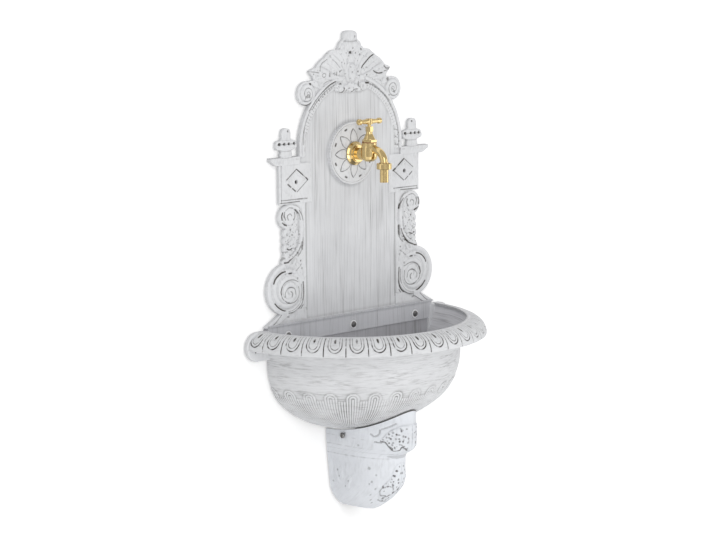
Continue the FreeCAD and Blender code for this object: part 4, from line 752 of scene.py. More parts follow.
COLUMN_DOTS = (
    (118, -48.5, 1.6, 0.6), (127, -58, 1.8, 0.5), (134, -74, 2.2, 0.5), (116, -76.4, 1.8, 0.3),
    (141.5, -82, 2.2, 0.5), (114.5, -83, 1.8, 0.25), (121.5, -92, 1.8, 0.35), (138, -93.5, 1.8, 0.25),
    (135.5, -84.6, 1.8, 0.3), (131, -82, 1.8, 0.3), (147, -65.4, 2.2, 0.4), (117.4, -112.4, 1.6, 0.6),
    (121, -115.4, 1.5, 0.5), (111.4, -125.6, 1.8, 0.45), (126, -86, 1.5, 0.2), (119, -153, 2.4, 0.2),
    (108.8, -138, 1.8, 0.3), (139.5, -189.8, 1.5, 0.6), (144.5, -144, 1.6, 0.2), (129.5, -66, 1.6, 0.3),
)


def column():
    """Upper volute, long C-scroll with leaves and berries, ball and the large lower volute."""
    r = Relief("column_right", 98, 186, -211, -32, 0.62)
    X, Z = r.X, r.Z
    base = 6.0
    r.cover(box_sd(X, Z, 100.5, 140.5, -203, -33), base, 1.2, 4.6)
    r.cover(circle_sd(X, Z, *UPPER_VOLUTE, 19.5), 7.0, 2.4, 3.5)
    for x, z, s in ((140.8, -79.5, 8.2), (141.5, -91.5, 7.6), (140.8, -104.0, 8.6), (140.0, -114.5, 7.6)):
        r.cover(circle_sd(X, Z, x, z, s), 7.2, 3.2, 3.6)
    r.cover(circle_sd(X, Z, 141.2, -126, 10.6), 7.8, 6.0, 3.5)
    r.cover(circle_sd(X, Z, *LOWER_VOLUTE, 41), 6.8, 2.4, 3.0)
    r.cover(polygon_sd(X, Z, [(138, -136), (152, -132), (150, -146), (138, -146)]), 6.6, 2.0, 4.0)
    column_scrolls(r)
    column_leaves(r, base + 0.4)
    rng = np.random.default_rng(21)
    for x, z in scatter(rng, 34, 116, 27, -112, 42):
        r.blob(x, z, 1.9, 1.6, 0, 8.3 + 0.6 * rng.random(), 7.0)
    for x, z in scatter(rng, 46, 114, 30, -118, 52):
        r.pit(x, z, 1.2 + 0.7 * rng.random(), 0.12 + 0.3 * rng.random(), 0.6)
    r.blob(141.5, -126.5, 5.4, 5.2, 0, 10.2, 7.4)
    r.H += wobble(X, Z, 31, 9, 0.13) * (r.sd < -2)
    mark(r, COLUMN_STROKES, COLUMN_DOTS, 0.9)
    return r


def column_scrolls(r):
    """Both volutes with the mouldings that run on from them, and the long C-scroll."""
    edge_x, edge_z = arc(*LOWER_VOLUTE, 37.6, 96, -144, 41)
    edge = list(zip(edge_x, edge_z))
    r.ridge(curve([(124, -124), (129, -131)] + edge), 4.6, 1.7, 6.8, (0.5, 0.8))
    r.ridge(coil((141.5, -169.5), (135.5, -174), 31.2, 3.0, 118, -3.1), 4.2, 1.9, 6.7, (0.7, 1.0))
    r.blob(135.4, -174, 3.4, 3.4, 0, 9.0, 7.2)
    r.ridge(curve([(101.8, -200), (101.8, -150), (104, -130), (110, -122)]), 2.4, 0.9, 6.0, (1, 0.5))
    r.ridge(coil(UPPER_VOLUTE, (135.8, -53.2), 16.6, 2.4, -100, 2.25), 4.0, 1.8, 6.8, (0.8, 1.0))
    r.blob(135.7, -53, 3.0, 3.0, 0, 9.0, 7.4)
    scroll = [(150, -49), (141, -38.6), (130, -37.4), (120, -41), (113.6, -49), (111, -60), (110.4, -75),
              (111.4, -90), (114.6, -101), (121.6, -110), (131, -117), (143, -121)]
    r.ridge(curve(scroll), 3.9, 2.4, 6.8, (0.5, 0.6))


def column_leaves(r, base):
    """Leaves that hang off the C-scroll, and those round the ball."""
    for leaf, width, rise in (([(120, -62), (126, -70), (131, -82), (131, -94)], 6.6, 1.6),
                              ([(119, -78), (124, -88), (132, -98), (144, -104)], 6.4, 1.8),
                              ([(121, -92), (128, -102), (138, -110), (147, -113)], 5.6, 1.6),
                              ([(129, -66), (136, -72), (142, -78), (147, -79)], 5.4, 1.6),
                              ([(129, -80), (136, -86), (142, -91), (147, -91)], 5.0, 1.6),
                              ([(132, -120), (138, -123), (145, -128), (150, -133)], 5.6, 1.8),
                              ([(121, -128), (117, -136), (113, -146), (111, -154)], 5.0, 1.5),
                              ([(128, -130), (124, -138), (120, -146)], 4.0, 1.2)):
        r.leaf(leaf, width, rise, base, 2)


def foot():
    """The plinth that spreads out under the lower volute."""
    r = Relief("foot_right", 99, 192, -226, -200, 0.6)
    X, Z = r.X, r.Z
    inner, top = 100, -202.5
    sd = polygon_sd(X, Z, [(inner, top), (154.5, top), (156.5, -206), (190, PANEL_FOOT), (inner, PANEL_FOOT)])
    r.cover(sd, 6.0, 0.9)
    slope_x, slope_z = 0.497, 0.868
    off_slope = np.abs((X - 156) * slope_x + (Z + 206) * slope_z)
    r.lift((sd < 0) & (off_slope < 11) & (X > 140), 7.0 + 1.1 * swell(off_slope / 3))
    r.line([(151, -203.5), (159, -211.5), (171, -221), (184, -224.5)], 1.2, 0.4)
    r.line([(142, -212), (138, -213)], 1.6, 0.25)
    r.pad(box_sd(X, Z, 99, 187, -226, -222.2), 8.0, 1.0, 7.0)
    r.line([(99, -222), (130, -222.4), (180, -222.6)], 1.1, 0.26, 0.4)
    return r


def flange():
    """The lower strip that drops inside the basin, with a boss at each screw."""
    r = Relief("panel_flange", -189, 189, -254, -221, 1.1, 4.05)
    X, Z = r.X, r.Z
    half = [(184, -221.5), (182, -232), (176, -253)]
    sd = polygon_sd(X, Z, half + [(-x, z) for x, z in reversed(half)])
    r.cover(sd, 7.9, 0.9, 7.0)
    r.H += 1.9 * smooth((Z + 226.5) / 3.0) * (sd < 0)
    boss_z, boss_r = -241.5, 9.4
    for x in (-142, 0, 142):
        d = np.hypot(X - x, Z - boss_z)
        r.H += 0.5 * hump((d - boss_r) / 1.2) * (sd < 0)
    r.line([(-183, -222.6), (183, -222.6)], 0.9, 0.5, 0.4)
    r.H += wobble(X, Z, 12, 60, 0.06) * (sd < -2)
    return r


# Marks on the crest, as those above; many are darker on one side than their mirror, as painted shade
CREST_STROKES = (
    ([(24, 173.5), (27, 178), (32, 182), (38, 187), (43, 190.7), (50.5, 194)], 1.4, 0.8),
    ([(-24, 176), (-31, 183), (-40, 189)], 1.6, 0.14),
    ([(-52, 190), (-58, 187), (-63, 184), (-66, 179), (-67, 172)], 1.1, 0.42),
    ([(-91, 172), (-80, 171), (-70, 169.3)], 1.0, 0.5),
    ([(74, 175), (79, 171), (86, 171)], 1.9, 0.55),
    ([(76, 166.5), (82, 167.5), (87, 170)], 1.1, 0.4),
    ([(50, 168), (55, 165), (62, 163.5), (71, 163.8)], 1.3, 0.75),
    ([(-90, 167), (-84, 161.5)], 1.6, 0.5),
    ([(-117.5, 134), (-114.5, 125), (-106, 120.5), (-97, 119.5), (-90, 122), (-84, 126)], 1.4, 0.7),
    ([(-100, 129.5), (-97, 134), (-92, 136), (-90, 131)], 1.6, 0.45),
    ([(92, 137), (97, 131)], 1.8, 0.35),
    ([(104, 143), (107, 135), (104, 126)], 1.3, 0.2),
    ([(-46, 162.8), (-46, 167.2)], 1.9, 0.42),
    ([(-36, 163.8), (-36, 167.6)], 1.4, 0.28),
    ([(-31, 164), (-31, 168.4)], 1.5, 0.34),
    ([(-24, 169), (-20, 171.5)], 1.6, 0.4),
    ([(30, 155.5), (40, 154.5), (50, 151.5)], 1.1, 0.3),
    ([(-60, 151), (-50, 155.6), (-40, 156.4)], 1.0, 0.2),
    ([(-18, 222), (-18.4, 229)], 1.4, 0.26),
    ([(-30, 204.5), (-24, 205.6)], 2.0, 0.22),
)
CREST_DOTS = (
    (0, 199, 3.0, 0.75), (4, 206, 1.9, 0.4), (10, 198, 1.8, 0.42), (20, 195, 2.0, 0.45),
    (23.5, 203.5, 2.6, 0.42), (8, 224.5, 3.2, 0.26), (-45, 195, 2.6, 0.16), (-88, 152.5, 2.6, 0.9),
    (82.5, 153.5, 4.4, 0.5), (35, 162, 2.0, 0.5), (19, 161, 1.7, 0.35), (17, 168, 1.9, 0.45),
    (34, 174, 1.8, 0.2), (-60, 147, 1.6, 0.2), (-94, 133, 1.8, 0.4), (97, 133, 2.0, 0.3),
    (57, 136, 1.6, 0.22), (-5, 194, 1.6, 0.16),
)


# Right half of the crest's outline, from the top of its knob out and down to the arch
CREST_HALF = [(0, 233.9), (6, 233.9), (12.5, 232.6), (15.6, 229), (15.6, 222), (17.5, 218.6), (22.5, 216),
              (26.5, 208), (29, 204.4), (36, 204.6), (43, 203), (50, 198.6), (56, 193), (64, 188.8),
              (72, 182.4), (76, 177.4), (84, 175.4), (90.5, 172), (87, 167.5), (82, 163.5), (79.5, 158),
              (88, 157.6), (98, 154.5), (92, 120), (60, 112), (0, 112)]

# The volute at each end of the crest: its middle and that of its eye
VOLUTE, VOLUTE_EYE = (94.8, 138), (93.6, 137)


def crest_outline(side, Z, rho):
    """Signed distance to the crest, which ends on the arch at its sides and hangs over it in the middle."""
    outline = np.minimum(polygon_sd(side, Z, CREST_HALF), circle_sd(side, Z, *VOLUTE, 19.2))
    outline = np.maximum(outline, np.where(side < 33, 139 - Z, 106.4 - rho))
    for x, z, size in ((5, 144.5, 9.6), (18.5, 146, 11.0), (30.5, 147.5, 9.0), (12, 150, 10)):
        outline = np.minimum(outline, circle_sd(side, Z, x, z, size))
    return outline


def volute(sign, r0, r1, turns):
    """Centre line of the coil at one end of the crest."""
    return coil((sign * VOLUTE[0], VOLUTE[1]), (sign * VOLUTE_EYE[0], VOLUTE_EYE[1]), r0, r1, 90 - sign * 150,
                sign * turns)


def crest_leaves(r):
    """Leaves that fan out on both sides, the knob above them and the fruit in the middle."""
    pair(r.leaf, [(70, 147), (77, 152), (85, 156), (93, 155)], 4.6, 1.4, 6.2)
    pair(r.leaf, [(12, 176), (17, 190), (28, 200), (42, 201.5)], 8.4, 1.5, 5.8, ends=(0.5, 0.3))
    pair(r.leaf, [(20, 172), (32, 184), (46, 193), (54, 195)], 7.0, 1.6, 5.9, ends=(0.5, 0.3))
    pair(r.leaf, [(28, 168), (44, 179), (60, 186), (73, 180)], 8.0, 1.7, 6.0, 1, ends=(0.5, 0.25))
    pair(r.leaf, [(40, 161), (58, 168), (74, 173.5), (88, 172)], 7.4, 1.7, 6.0, 1, ends=(0.5, 0.2))
    pair(r.leaf, [(34, 155), (50, 158), (66, 160), (78, 158.5)], 5.4, 1.4, 5.9, 1, ends=(0.5, 0.3))
    pair(r.leaf, [(36, 150), (50, 151), (62, 148), (70, 140)], 4.6, 1.3, 5.9)
    pair(r.leaf, [(14, 160), (22, 158), (34, 160), (42, 168)], 4.4, 1.5, 6.3)
    pair(r.leaf, [(5, 184), (10, 196), (17, 207), (22, 214)], 5.6, 1.7, 6.2)
    for x, z, a, b, top, low in ((0, 224.5, 15.6, 9.6, 9.4, 6.0), (0, 210, 17, 9, 8.6, 6.2),
                                 (0, 190, 7.2, 7.4, 9.4, 6.4)):
        r.blob(x, z, a, b, 0, top, low)
    r.line([(-14, 217.4), (0, 216.4), (14, 217.4)], 1.6, 0.1, 0.6)
    for x, z, a, b, top, low in ((0, 167.5, 12.5, 17.0, 8.6, 6.4), (1.5, 167.0, 8.2, 14.6, 12.2, 7.6),
                                 (0, 147, 8.0, 5.0, 8.6, 6.2), (0, 139.6, 5.6, 4.4, 8.6, 6.0)):
        r.blob(x, z, a, b, 0, top, low)
    for sign in SIDES:
        r.blob(sign * 10, 143, 5.6, 4.6, sign * 40, 8.6, 6.2)
        r.blob(sign * 18, 140, 5.0, 4.2, sign * 20, 8.2, 6.0)


def crest():
    """The crown of the arch: leaves, fruit and two volutes."""
    r = Relief("panel_crest", -116, 116, 110, 235, 0.74)
    X, Z = r.X, r.Z
    side = np.abs(X)
    rho = np.hypot(X, Z - ARCH_Z)
    outline = crest_outline(side, Z, rho)
    r.cover(outline, 5.8, 1.6, 4.0)
    for sign in SIDES:
        r.ridge(volute(sign, 16.2, 2.6, -2.1), 3.9, 2.3, 6.2, (0.6, 1.0))
        r.blob(sign * 93.5, 137, 3.2, 3.2, 0, 8.8, 7.0)
        curl = coil((sign * 26, 144.5), (sign * 26.5, 144), 8.6, 2.0, 90 + sign * 60, sign * 1.5)
        r.ridge(curl, 2.6, 1.5, 6.6, (0.5, 1.0))
    crest_leaves(r)
    ring = [(-58.5 + 3.4 * math.cos(a), 165 + 3.2 * math.sin(a)) for a in np.linspace(0, 2 * math.pi, 24)]
    r.groove(ring, 1.1, 0.6, 0.34)
    mark(r, (), ((-2.6, 176, 1.8, 0.4), (-1, 168, 2.2, 0.42), (4.4, 171, 1.6, 0.26), (6, 157, 1.7, 0.3)), 0.8)
    for sign in SIDES:
        r.groove(volute(sign, 12.6, 2.0, -1.9), 0.9, 0.5, 0.3)
    mark(r, CREST_STROKES, CREST_DOTS)
    mark(r, STROKES, DOTS)
    rng = np.random.default_rng(5)
    for x, z in scatter(rng, 70, -80, 160, 144, 56):
        r.pit(x, z, 1.1 + 0.6 * rng.random(), 0.1 + 0.25 * rng.random(), 0.5)
    r.H += wobble(X, Z, 41, 11, 0.16) * (outline < -2)

    keep = outline < 0
    scallop = np.abs(((np.degrees(np.arctan2(side, Z - ARCH_Z)) / 4.2) % 1) - 0.5) * 2
    band = keep & (rho > 106) & (rho < 112) & (Z > 112) & (side > 40)
    r.H = np.where(band, np.minimum(r.H, 7.4) - 0.35 * scallop, r.H)
    r.lift(keep, 3.6)
    return r


PETALS = 8
ROSETTE_R, ROSETTE_BACK = 50, 4.4


def petals(r, rho, theta, face):
    """Thin pointed petals round the tap, each hollowed along its middle."""
    root, tip, width = 13.0, 39.0, 7.3
    step = 2 * math.pi / PETALS
    off = (theta + step / 2) % step - step / 2
    across, out = rho * np.sin(off), rho * np.cos(off)
    t = np.clip((out - root) / (tip - root), 0, 1)
    half = width * np.sin(math.pi * t ** 0.8) ** 0.75 + 0.2
    u = np.abs(across) / half
    inside = (u < 1) & (out > root) & (out < tip)
    back = np.cos(math.pi / 2 * np.clip(u, 0, 1)) ** 0.7
    r.lift(inside, face + 1.3 * back * np.clip(1 - t ** 6, 0, 1))
    outline = hump((np.abs(across) - half) / 0.8) * (out > root + 4) * (out < tip + 0.5)
    r.dark_wash_and_shade += 0.1 * inside
    r.H -= 0.6 * outline
    r.dark_wash_and_shade = np.maximum(r.dark_wash_and_shade, outline * (0.45 + 0.4 * smooth((out - 32) / 5)))
    mark_r, half_mark = 40.8, 1.7
    for k in range(PETALS):
        a = (k + 0.5) * step
        x, z = mark_r * math.sin(a), TAP_Z + mark_r * math.cos(a)
        dx, dz = half_mark * math.cos(a), half_mark * math.sin(a)
        r.line([(x - dx, z + dz), (x + dx, z - dz)], 2.0, 0.6)


def rosette():
    """The round plate behind the tap: two rings round eight thin pointed petals."""
    r = Relief("panel_rosette", -51, 51, -13, 89, 0.56, ROSETTE_BACK)
    X, Z = r.X, r.Z
    rho = np.hypot(X, Z - TAP_Z)
    theta = np.arctan2(X, Z - TAP_Z)
    r.cover(rho - ROSETTE_R, 10.2, 5.0, 5.2)
    face = 10.6 + 2.9 * smooth((46 - rho) / 26)
    r.lift(rho < 47.5, face)
    for radius, half, rise in ((48.6, 1.7, 0.9), (45.2, 1.3, 0.7)):
        off = rho - radius
        r.lift(np.abs(off) < half, 10.4 + rise * dome(off / half))
    groove = hump((rho - 46.9) / 0.6)
    r.H -= 0.5 * groove
    # The groove is darker on the disc's left, as a painted shadow line at its foot.
    r.dark_wash_and_shade += (0.3 + 0.35 * smooth((-np.sin(theta) - 0.2) / 0.4)) * groove
    petals(r, rho, theta, face)

    # The seat of the tap, with its foot clear of wash, and the pocket behind it
    seat_r, seat_h = 19, 13.6
    r.H = np.where(rho < seat_r, seat_h, r.H)
    r.dark_wash_and_shade *= rho > seat_r - 3
    r.under = np.where(rho < POCKET_R, np.minimum(r.H - POCKET_WALL, POCKET_DEPTH), ROSETTE_BACK)
    return r


def composite(pieces, x1, z0, z1):
    """Joins the pieces' heights in one map, and gives the function that reads how hollow a place is."""
    step, tallest, ground = 0.7, 16, 3.5
    xs = np.arange(-x1, x1 + 0.1, step)
    zs = np.arange(z0, z1, step)
    front = np.zeros((len(xs), len(zs)))
    for p in pieces:
        i = np.clip(np.rint((xs - p.x[0]) / p.pitch).astype(int), 0, len(p.x) - 1)
        j = np.clip(np.rint((zs - p.z[0]) / p.pitch).astype(int), 0, len(p.z) - 1)
        inside_x = (xs >= p.x[0]) & (xs <= p.x[-1])
        inside_z = (zs >= p.z[0]) & (zs <= p.z[-1])
        height = np.where(p.sd[np.ix_(i, j)] < 0, p.H[np.ix_(i, j)], 0)
        front = np.maximum(front, height * inside_x[:, None] * inside_z[None, :])
    front = np.minimum(front, tallest)
    inside = front > 0.5
    filled = np.where(inside, front, ground)
    near, far = (blur(filled, reach / step) - filled for reach in (1.5, 4.0))
    hollow = np.where(inside, blur(0.95 * near + 0.55 * far, 0.55), 0)

    def read(x, z):
        fx = np.clip((x - xs[0]) / step, 0, len(xs) - 1.001)
        fz = np.clip((z - zs[0]) / step, 0, len(zs) - 1.001)
        i, j = fx.astype(int), fz.astype(int)
        u, v = fx - i, fz - j
        return ((hollow[i, j] * (1 - u) + hollow[i + 1, j] * u) * (1 - v)
                + (hollow[i, j + 1] * (1 - u) + hollow[i + 1, j + 1] * u) * v)

    return read


right_pieces = [block(), cap(), finial(), column(), foot()]
middle_pieces = [field(), arch(), flange(), crest(), rosette()]
panel_pieces = middle_pieces + right_pieces + [p.mirrored() for p in right_pieces]
panel_hollows = composite(panel_pieces, 194, -256, 237)
flat_paints = {"panel_field": PANEL_PAINT, "panel_flange": FLANGE_SHADED_PAINT}
for piece in panel_pieces:
    shown = piece.mesh(flat_paints.get(piece.name, CARVED_PAINT), panel_hollows)
    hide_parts("back_panel")


# Basin and console: shells whose sections run round a loop


def tube(name, rings, kinds, materials, **values):
    """A closed shell from rings[i][j]: j runs round a section, and i from one wall end to the other.

    Kinds gives the number of the material of each strip along the shell.
    """
    n, m, _ = rings.shape
    index = np.arange(n * m).reshape(n, m)
    a, b = index[:-1], index[1:]
    faces = np.stack([a, b, np.roll(b, -1, axis=1), np.roll(a, -1, axis=1)], axis=-1).reshape(-1, 4)
    caps = [list(index[0]), list(index[-1][::-1])]
    flat = {key: data.reshape(n * m, *data.shape[2:]) for key, data in values.items()}
    obj = make_object(name, rings.reshape(-1, 3), faces.tolist() + caps, materials[0], **flat)
    for material in materials[1:]:
        obj.data.materials.append(material)
    slots = np.concatenate([np.tile(kinds, n - 1), [0, 0]]).astype(np.int32)
    obj.data.polygons.foreach_set("material_index", slots)
    obj.data.update()
    return obj


def normals(r, z):
    """Unit normals of a section, out of the casting."""
    nr, nz = -np.gradient(z), np.gradient(r)
    size = np.hypot(nr, nz)
    return nr / size, nz / size


def turned(r, z, angles):
    """Points of a section, with its r and z for each angle, turned about the upright axis on the wall."""
    c, s = np.cos(angles)[:, None], np.sin(angles)[:, None]
    return np.stack([r * c, -r * s, z + 0 * c], axis=-1)


def shell_rings(section, carving, inner, angles):
    """Rings of a turned shell: the outer section with its carving, and the plain inner section back."""
    nr, nz = normals(*section)
    count = len(angles)
    r = np.hstack([section[0][None, :] + nr * carving, np.tile(inner[0], (count, 1))])
    z = np.hstack([section[1][None, :] + nz * carving, np.tile(inner[1], (count, 1))])
    return turned(r, z, angles)


def soft_hollow(D, near, far):
    """Wash and painted shade in the hollows of a displaced surface, and painted highlight on its raised
    spots, from its own grid. Cells across and down differ in size.
    """
    out = (blur(D, near) - D) + 0.55 * (blur(D, far) - D)
    return np.clip(WASH_AND_SHADE_SHARE * out, -0.3, 0.2)


# The castings' wall, and the rim's lip, outer edge, top and the fall of its rounded face
CAST_WALL = 4.5
RIM_LIP, RIM_EDGE, RIM_TOP, RIM_FALL = 193.5, 223.5, -229.0, 25.5
RIM_FOOT = RIM_TOP - RIM_FALL

# The egg pattern: the angle of one egg, and the radius at which angles become lengths
EGG_PITCH = math.radians(9)
EGG_R = 215


def rim_face(turn, shrink=0.0):
    """The rim's rounded face: turn 90 degrees is its lip and 0 its outer edge."""
    r = RIM_LIP + (RIM_EDGE - RIM_LIP - shrink) * np.cos(turn)
    return r, RIM_FOOT + (RIM_FALL - shrink) * np.sin(turn)


def rim_carving(angles, run):
    """Depth and darkening of the egg pattern, for each angle round the rim and length down its face: dark
    wash, with painted shade lower in the shells, eggs and darts.
    """
    off = (angles % EGG_PITCH) - EGG_PITCH / 2
    a = (np.abs(off) * EGG_R)[:, None]
    b = run[None, :]
    gap = EGG_PITCH / 2 * EGG_R - a
    round_from, shell_r, egg_r = 24, 13.5, 8.6
    cup = np.hypot(1.25 * a, np.maximum(b - round_from, 0))
    shell = hump((cup - shell_r) / 1.3)
    egg = hump((cup - egg_r) / 1.0)
    dart = hump(gap / 0.85)
    stroke = np.clip(1.3 - 1.3 * np.hypot(a / 2.2, (b - 15) / 7.5) ** 2, 0, 1)
    depth = -0.2 - 1.3 * shell - 0.8 * egg - 1.2 * dart - 1.0 * stroke
    depth -= 0.45 * hump(gap / 2.6) * smooth((b - round_from) / 10)

    # Marks darken lower down the face, as painted shade at the bottom of the channels.
    below = smooth((b - 18) / 10)
    worn = 0.75 + 0.25 * np.sin(7 * np.floor(angles / EGG_PITCH))[:, None]
    dark_wash_and_shade = shell * (0.35 + 0.65 * below) * worn + 0.45 * egg * (0.6 + 0.4 * below) + 1.05 * stroke * worn
    dark_wash_and_shade += dart * (0.5 + 0.55 * below)
    dark_wash_and_shade *= 1.12 + 0.8 * wobble(angles[:, None] * EGG_R, b, 29, 9, 1.0)

    inside = smooth((b - 2.5) / 2.5) * smooth((44.5 - b) / 1.2)
    depth = -0.1 + (depth + 0.1) * inside
    depth += wobble(angles[:, None] * 200, b, 5, 40, 0.1)
    return np.minimum(depth, 0), dark_wash_and_shade * inside


def rim():
    """Quarter-round rim carved with eggs in U-shaped shells, a dart line between each two."""
    angles = np.linspace(0, math.pi, 1441)
    corner = 2.0
    r1, z1 = rim_face(np.linspace(math.pi / 2, 0, 60))
    r2, z2 = arc(RIM_EDGE - corner, RIM_FOOT, corner, -15, -90, 6)
    r, z = np.concatenate([r1, r2]), np.concatenate([z1, z2])
    depth, dark_wash_and_shade = rim_carving(angles, run_length(r, z))
    inner_r, inner_z = rim_face(np.linspace(0.15, math.pi / 2, 9), CAST_WALL)
    inner_r = np.concatenate([[RIM_EDGE - CAST_WALL] * 2, inner_r, [190.5, 190.5]])
    inner_z = np.concatenate([[-256.4, -254.6], inner_z, [-233.4, -229.2]])
    rings = shell_rings((r, z), depth, (inner_r, inner_z), angles)
    hollow = soft_hollow(depth, (2.6, 1.8), (8, 5)) + dark_wash_and_shade
    patina = np.hstack([hollow, np.full((len(angles), len(inner_r)), 0.3)])
    height = rings[..., 2]
    grain = np.stack([height, 0 * height, angles[:, None] * EGG_R + 0 * height], axis=-1) * MM
    kinds = np.zeros(rings.shape[1], int)
    return tube("basin_rim_carved", rings, kinds, [RIM_PAINT], patina=patina, grain=grain)


def ear(side):
    """The flat end plate of the rim against the wall: a disc with a straight bar in to the bowl."""
    r = Relief("basin_ear_right", 172, 229, -278, -227, 0.62)
    X, Z = r.X, r.Z
    top = 7.9
    middle = 203.5
    plate = np.minimum(circle_sd(X, Z, middle, -252.5, 23.4), box_sd(X, Z, 176, middle, -275.9, -229.2))
    r.cover(plate, top, 2.2, 5.6)
    r.ridge(coil((205, -254), (207, -254), 17.5, 3.5, 90, -1.5), 3.4, 1.0, 6.6, (0.4, 0.8))
    r.line([(216, -238), (221.5, -246), (223, -255)], 1.5, 0.3)
    r.pit(212.5, -250.5, 2.8, 0.85)
    r.pit(209.4, -259.4, 2.2, 0.9)
    r.pit(219.5, -252, 2.2, 0.7)
    r.line([(204, -241), (210, -243.5), (213, -248)], 1.3, 0.5)
    r.H = np.minimum(r.H, top)
    return r if side > 0 else r.mirrored()


# The bowl: its radius, the radius of its rounded corner, the heights of the arches that gather its ribs,
# of the corner's start and of the bottom, and how far the ribs stand out
BOWL_R, BOWL_CORNER_R = 180.0, 95.0
ARCHES_Z, BOWL_TURN_Z, BOWL_BOTTOM_Z = -332, -285, -410
RIB_H = 1.2


def bowl_profile(grow, count):
    """The bowl's section from its flare to its bottom, moved out by grow: radius and height."""
    centre_r = BOWL_R - BOWL_CORNER_R
    depth = BOWL_TURN_Z - BOWL_BOTTOM_Z
    spare = depth - BOWL_CORNER_R
    rise = (centre_r ** 2 - spare ** 2) / (2 * spare)
    meet = math.degrees(math.atan2(rise, centre_r))
    r0, z0 = np.linspace(198, BOWL_R, 12), np.linspace(-233.6, -277, 12)
    r1, z1 = np.full(3, BOWL_R), np.linspace(-279, -284, 3)
    r2, z2 = arc(centre_r, BOWL_TURN_Z, BOWL_CORNER_R, 0, -meet, int(count * 0.45))
    r3, z3 = arc(0, BOWL_TURN_Z + rise, depth + rise, -meet - 0.3, -89.7, int(count * 0.4))
    r, z = np.concatenate([r0, r1, r2, r3]), np.concatenate([z0, z1, z2, z3])
    nr, nz = normals(r, z)
    return r + grow * nr, z + grow * nz


def bowl_ribs(angles, s):
    """Raised ribs, 0 to 1, for each angle and length s below the arches that gather their tops."""
    pitch, tongue = math.radians(1.5), math.radians(12)
    gap = 4.4
    off = (angles + tongue / 2) % tongue - tongue / 2
    a = (np.abs(off) / pitch)[:, None] * gap
    rib = hump(np.abs(a / gap - np.rint(a / gap)) * gap / 1.75) ** 0.6
    ring = np.hypot(a, np.minimum(s, 0))
    arcs = np.maximum(hump((ring - gap) / 1.7), hump((ring - 2 * gap) / 1.7)) ** 0.6
    middle, outer = a < 0.5 * gap, a > 2.5 * gap
    shape = np.where(s < 0, arcs, np.where(middle, rib * smooth((s + 1) / 3), rib))
    return np.where(outer, rib * smooth((s - 3.5) / 4), shape)


def bowl():
    """The half-round bowl with its band of fine ribs gathered in arches."""
    angles = np.linspace(0, math.pi, 721)
    r, z = bowl_profile(0.0, 150)
    run = run_length(r, z)
    s = run[None, :] - np.interp(-ARCHES_Z, -z, run)
    depth = RIB_H * bowl_ribs(angles, s) * smooth((r[None, :] - 45) / 30)
    depth += wobble(angles[:, None] * BOWL_R, run[None, :], 8, 70, 0.16) * smooth((12 - s) / 10)
    patchy = 0.75 + 0.45 * wobble(angles[:, None] * BOWL_R, run[None, :], 17, 60, 1.0)
    hollow = 3.4 * soft_hollow(depth, (2.0, 1.5), (6, 4)) * (0.25 + 0.75 * smooth((s + 20) / 6)) * patchy

    inner_r, inner_z = bowl_profile(-CAST_WALL, 26)
    inner_r = np.concatenate([inner_r[::-1], [193.5, 197.8]])
    inner_z = np.concatenate([inner_z[::-1], [-229.1, -229.1]])
    count, k = len(angles), len(inner_r)
    rings = shell_rings((r, z), depth, (inner_r, inner_z), angles)
    patina = np.hstack([hollow, np.full((count, k), 0.05)])
    length = np.hstack([np.tile(run, (count, 1)), np.tile(np.linspace(900, 1100, k), (count, 1))])
    grain = np.stack([length, 0 * length, angles[:, None] * 175 + 0 * length], axis=-1) * MM
    kinds = np.concatenate([np.zeros(len(r), int), np.ones(k - 1, int), [0]])
    return tube("basin_bowl_carved", rings, kinds, [BOWL_PAINT, LINER_LIT_PAINT], patina=patina, grain=grain)


def basin_back():
    """The flat back wall of the basin, inside the bowl's outline."""
    r = Relief("basin_back_plate", -228, 228, -411, -224, 2.2, 0.3)
    profile_r, profile_z = bowl_profile(-0.6, 60)
    half = [(0.0, -225.1), (186.0, -225.1), (188, -229.4)]
    half += list(zip(profile_r.tolist(), profile_z.tolist()))[1:] + [(0.0, -409.4)]
    r.cover(polygon_sd(r.X, r.Z, half + [(-x, z) for x, z in reversed(half)]), 4.0, 0.5)
    return r


# Height, half width and depth of the console
CONSOLE_ROWS = (
    (-365, 55.5, 144.0), (-404, 55.0, 144.0), (-424, 54.5, 143.0), (-429, 54.2, 141.6),
    (-433, 53.8, 136.0), (-437, 53.5, 129.0), (-441, 53.0, 122.0), (-445, 52.8, 120.4),
    (-449, 52.2, 119.5), (-480, 49.0, 119.5), (-494, 47.5, 115.0), (-506, 46.0, 104.0),
    (-517, 41.5, 93.0), (-527, 34.5, 82.0), (-535, 26.5, 70.0), (-541, 18.0, 58.0),
)

# Right halves of the two raised patches on the console's front
SHELL_PATCH = [(0, -388), (16, -388), (30, -394), (40, -402), (50, -413), (42, -417), (36, -424), (28, -429),
               (20, -428), (17, -423), (9, -428), (0, -430)]
SPRAY_PATCH = [(0, -455), (10, -457), (16, -466), (20, -478), (30, -488), (37, -496), (36, -506), (28, -514),
               (14, -521), (0, -524)]

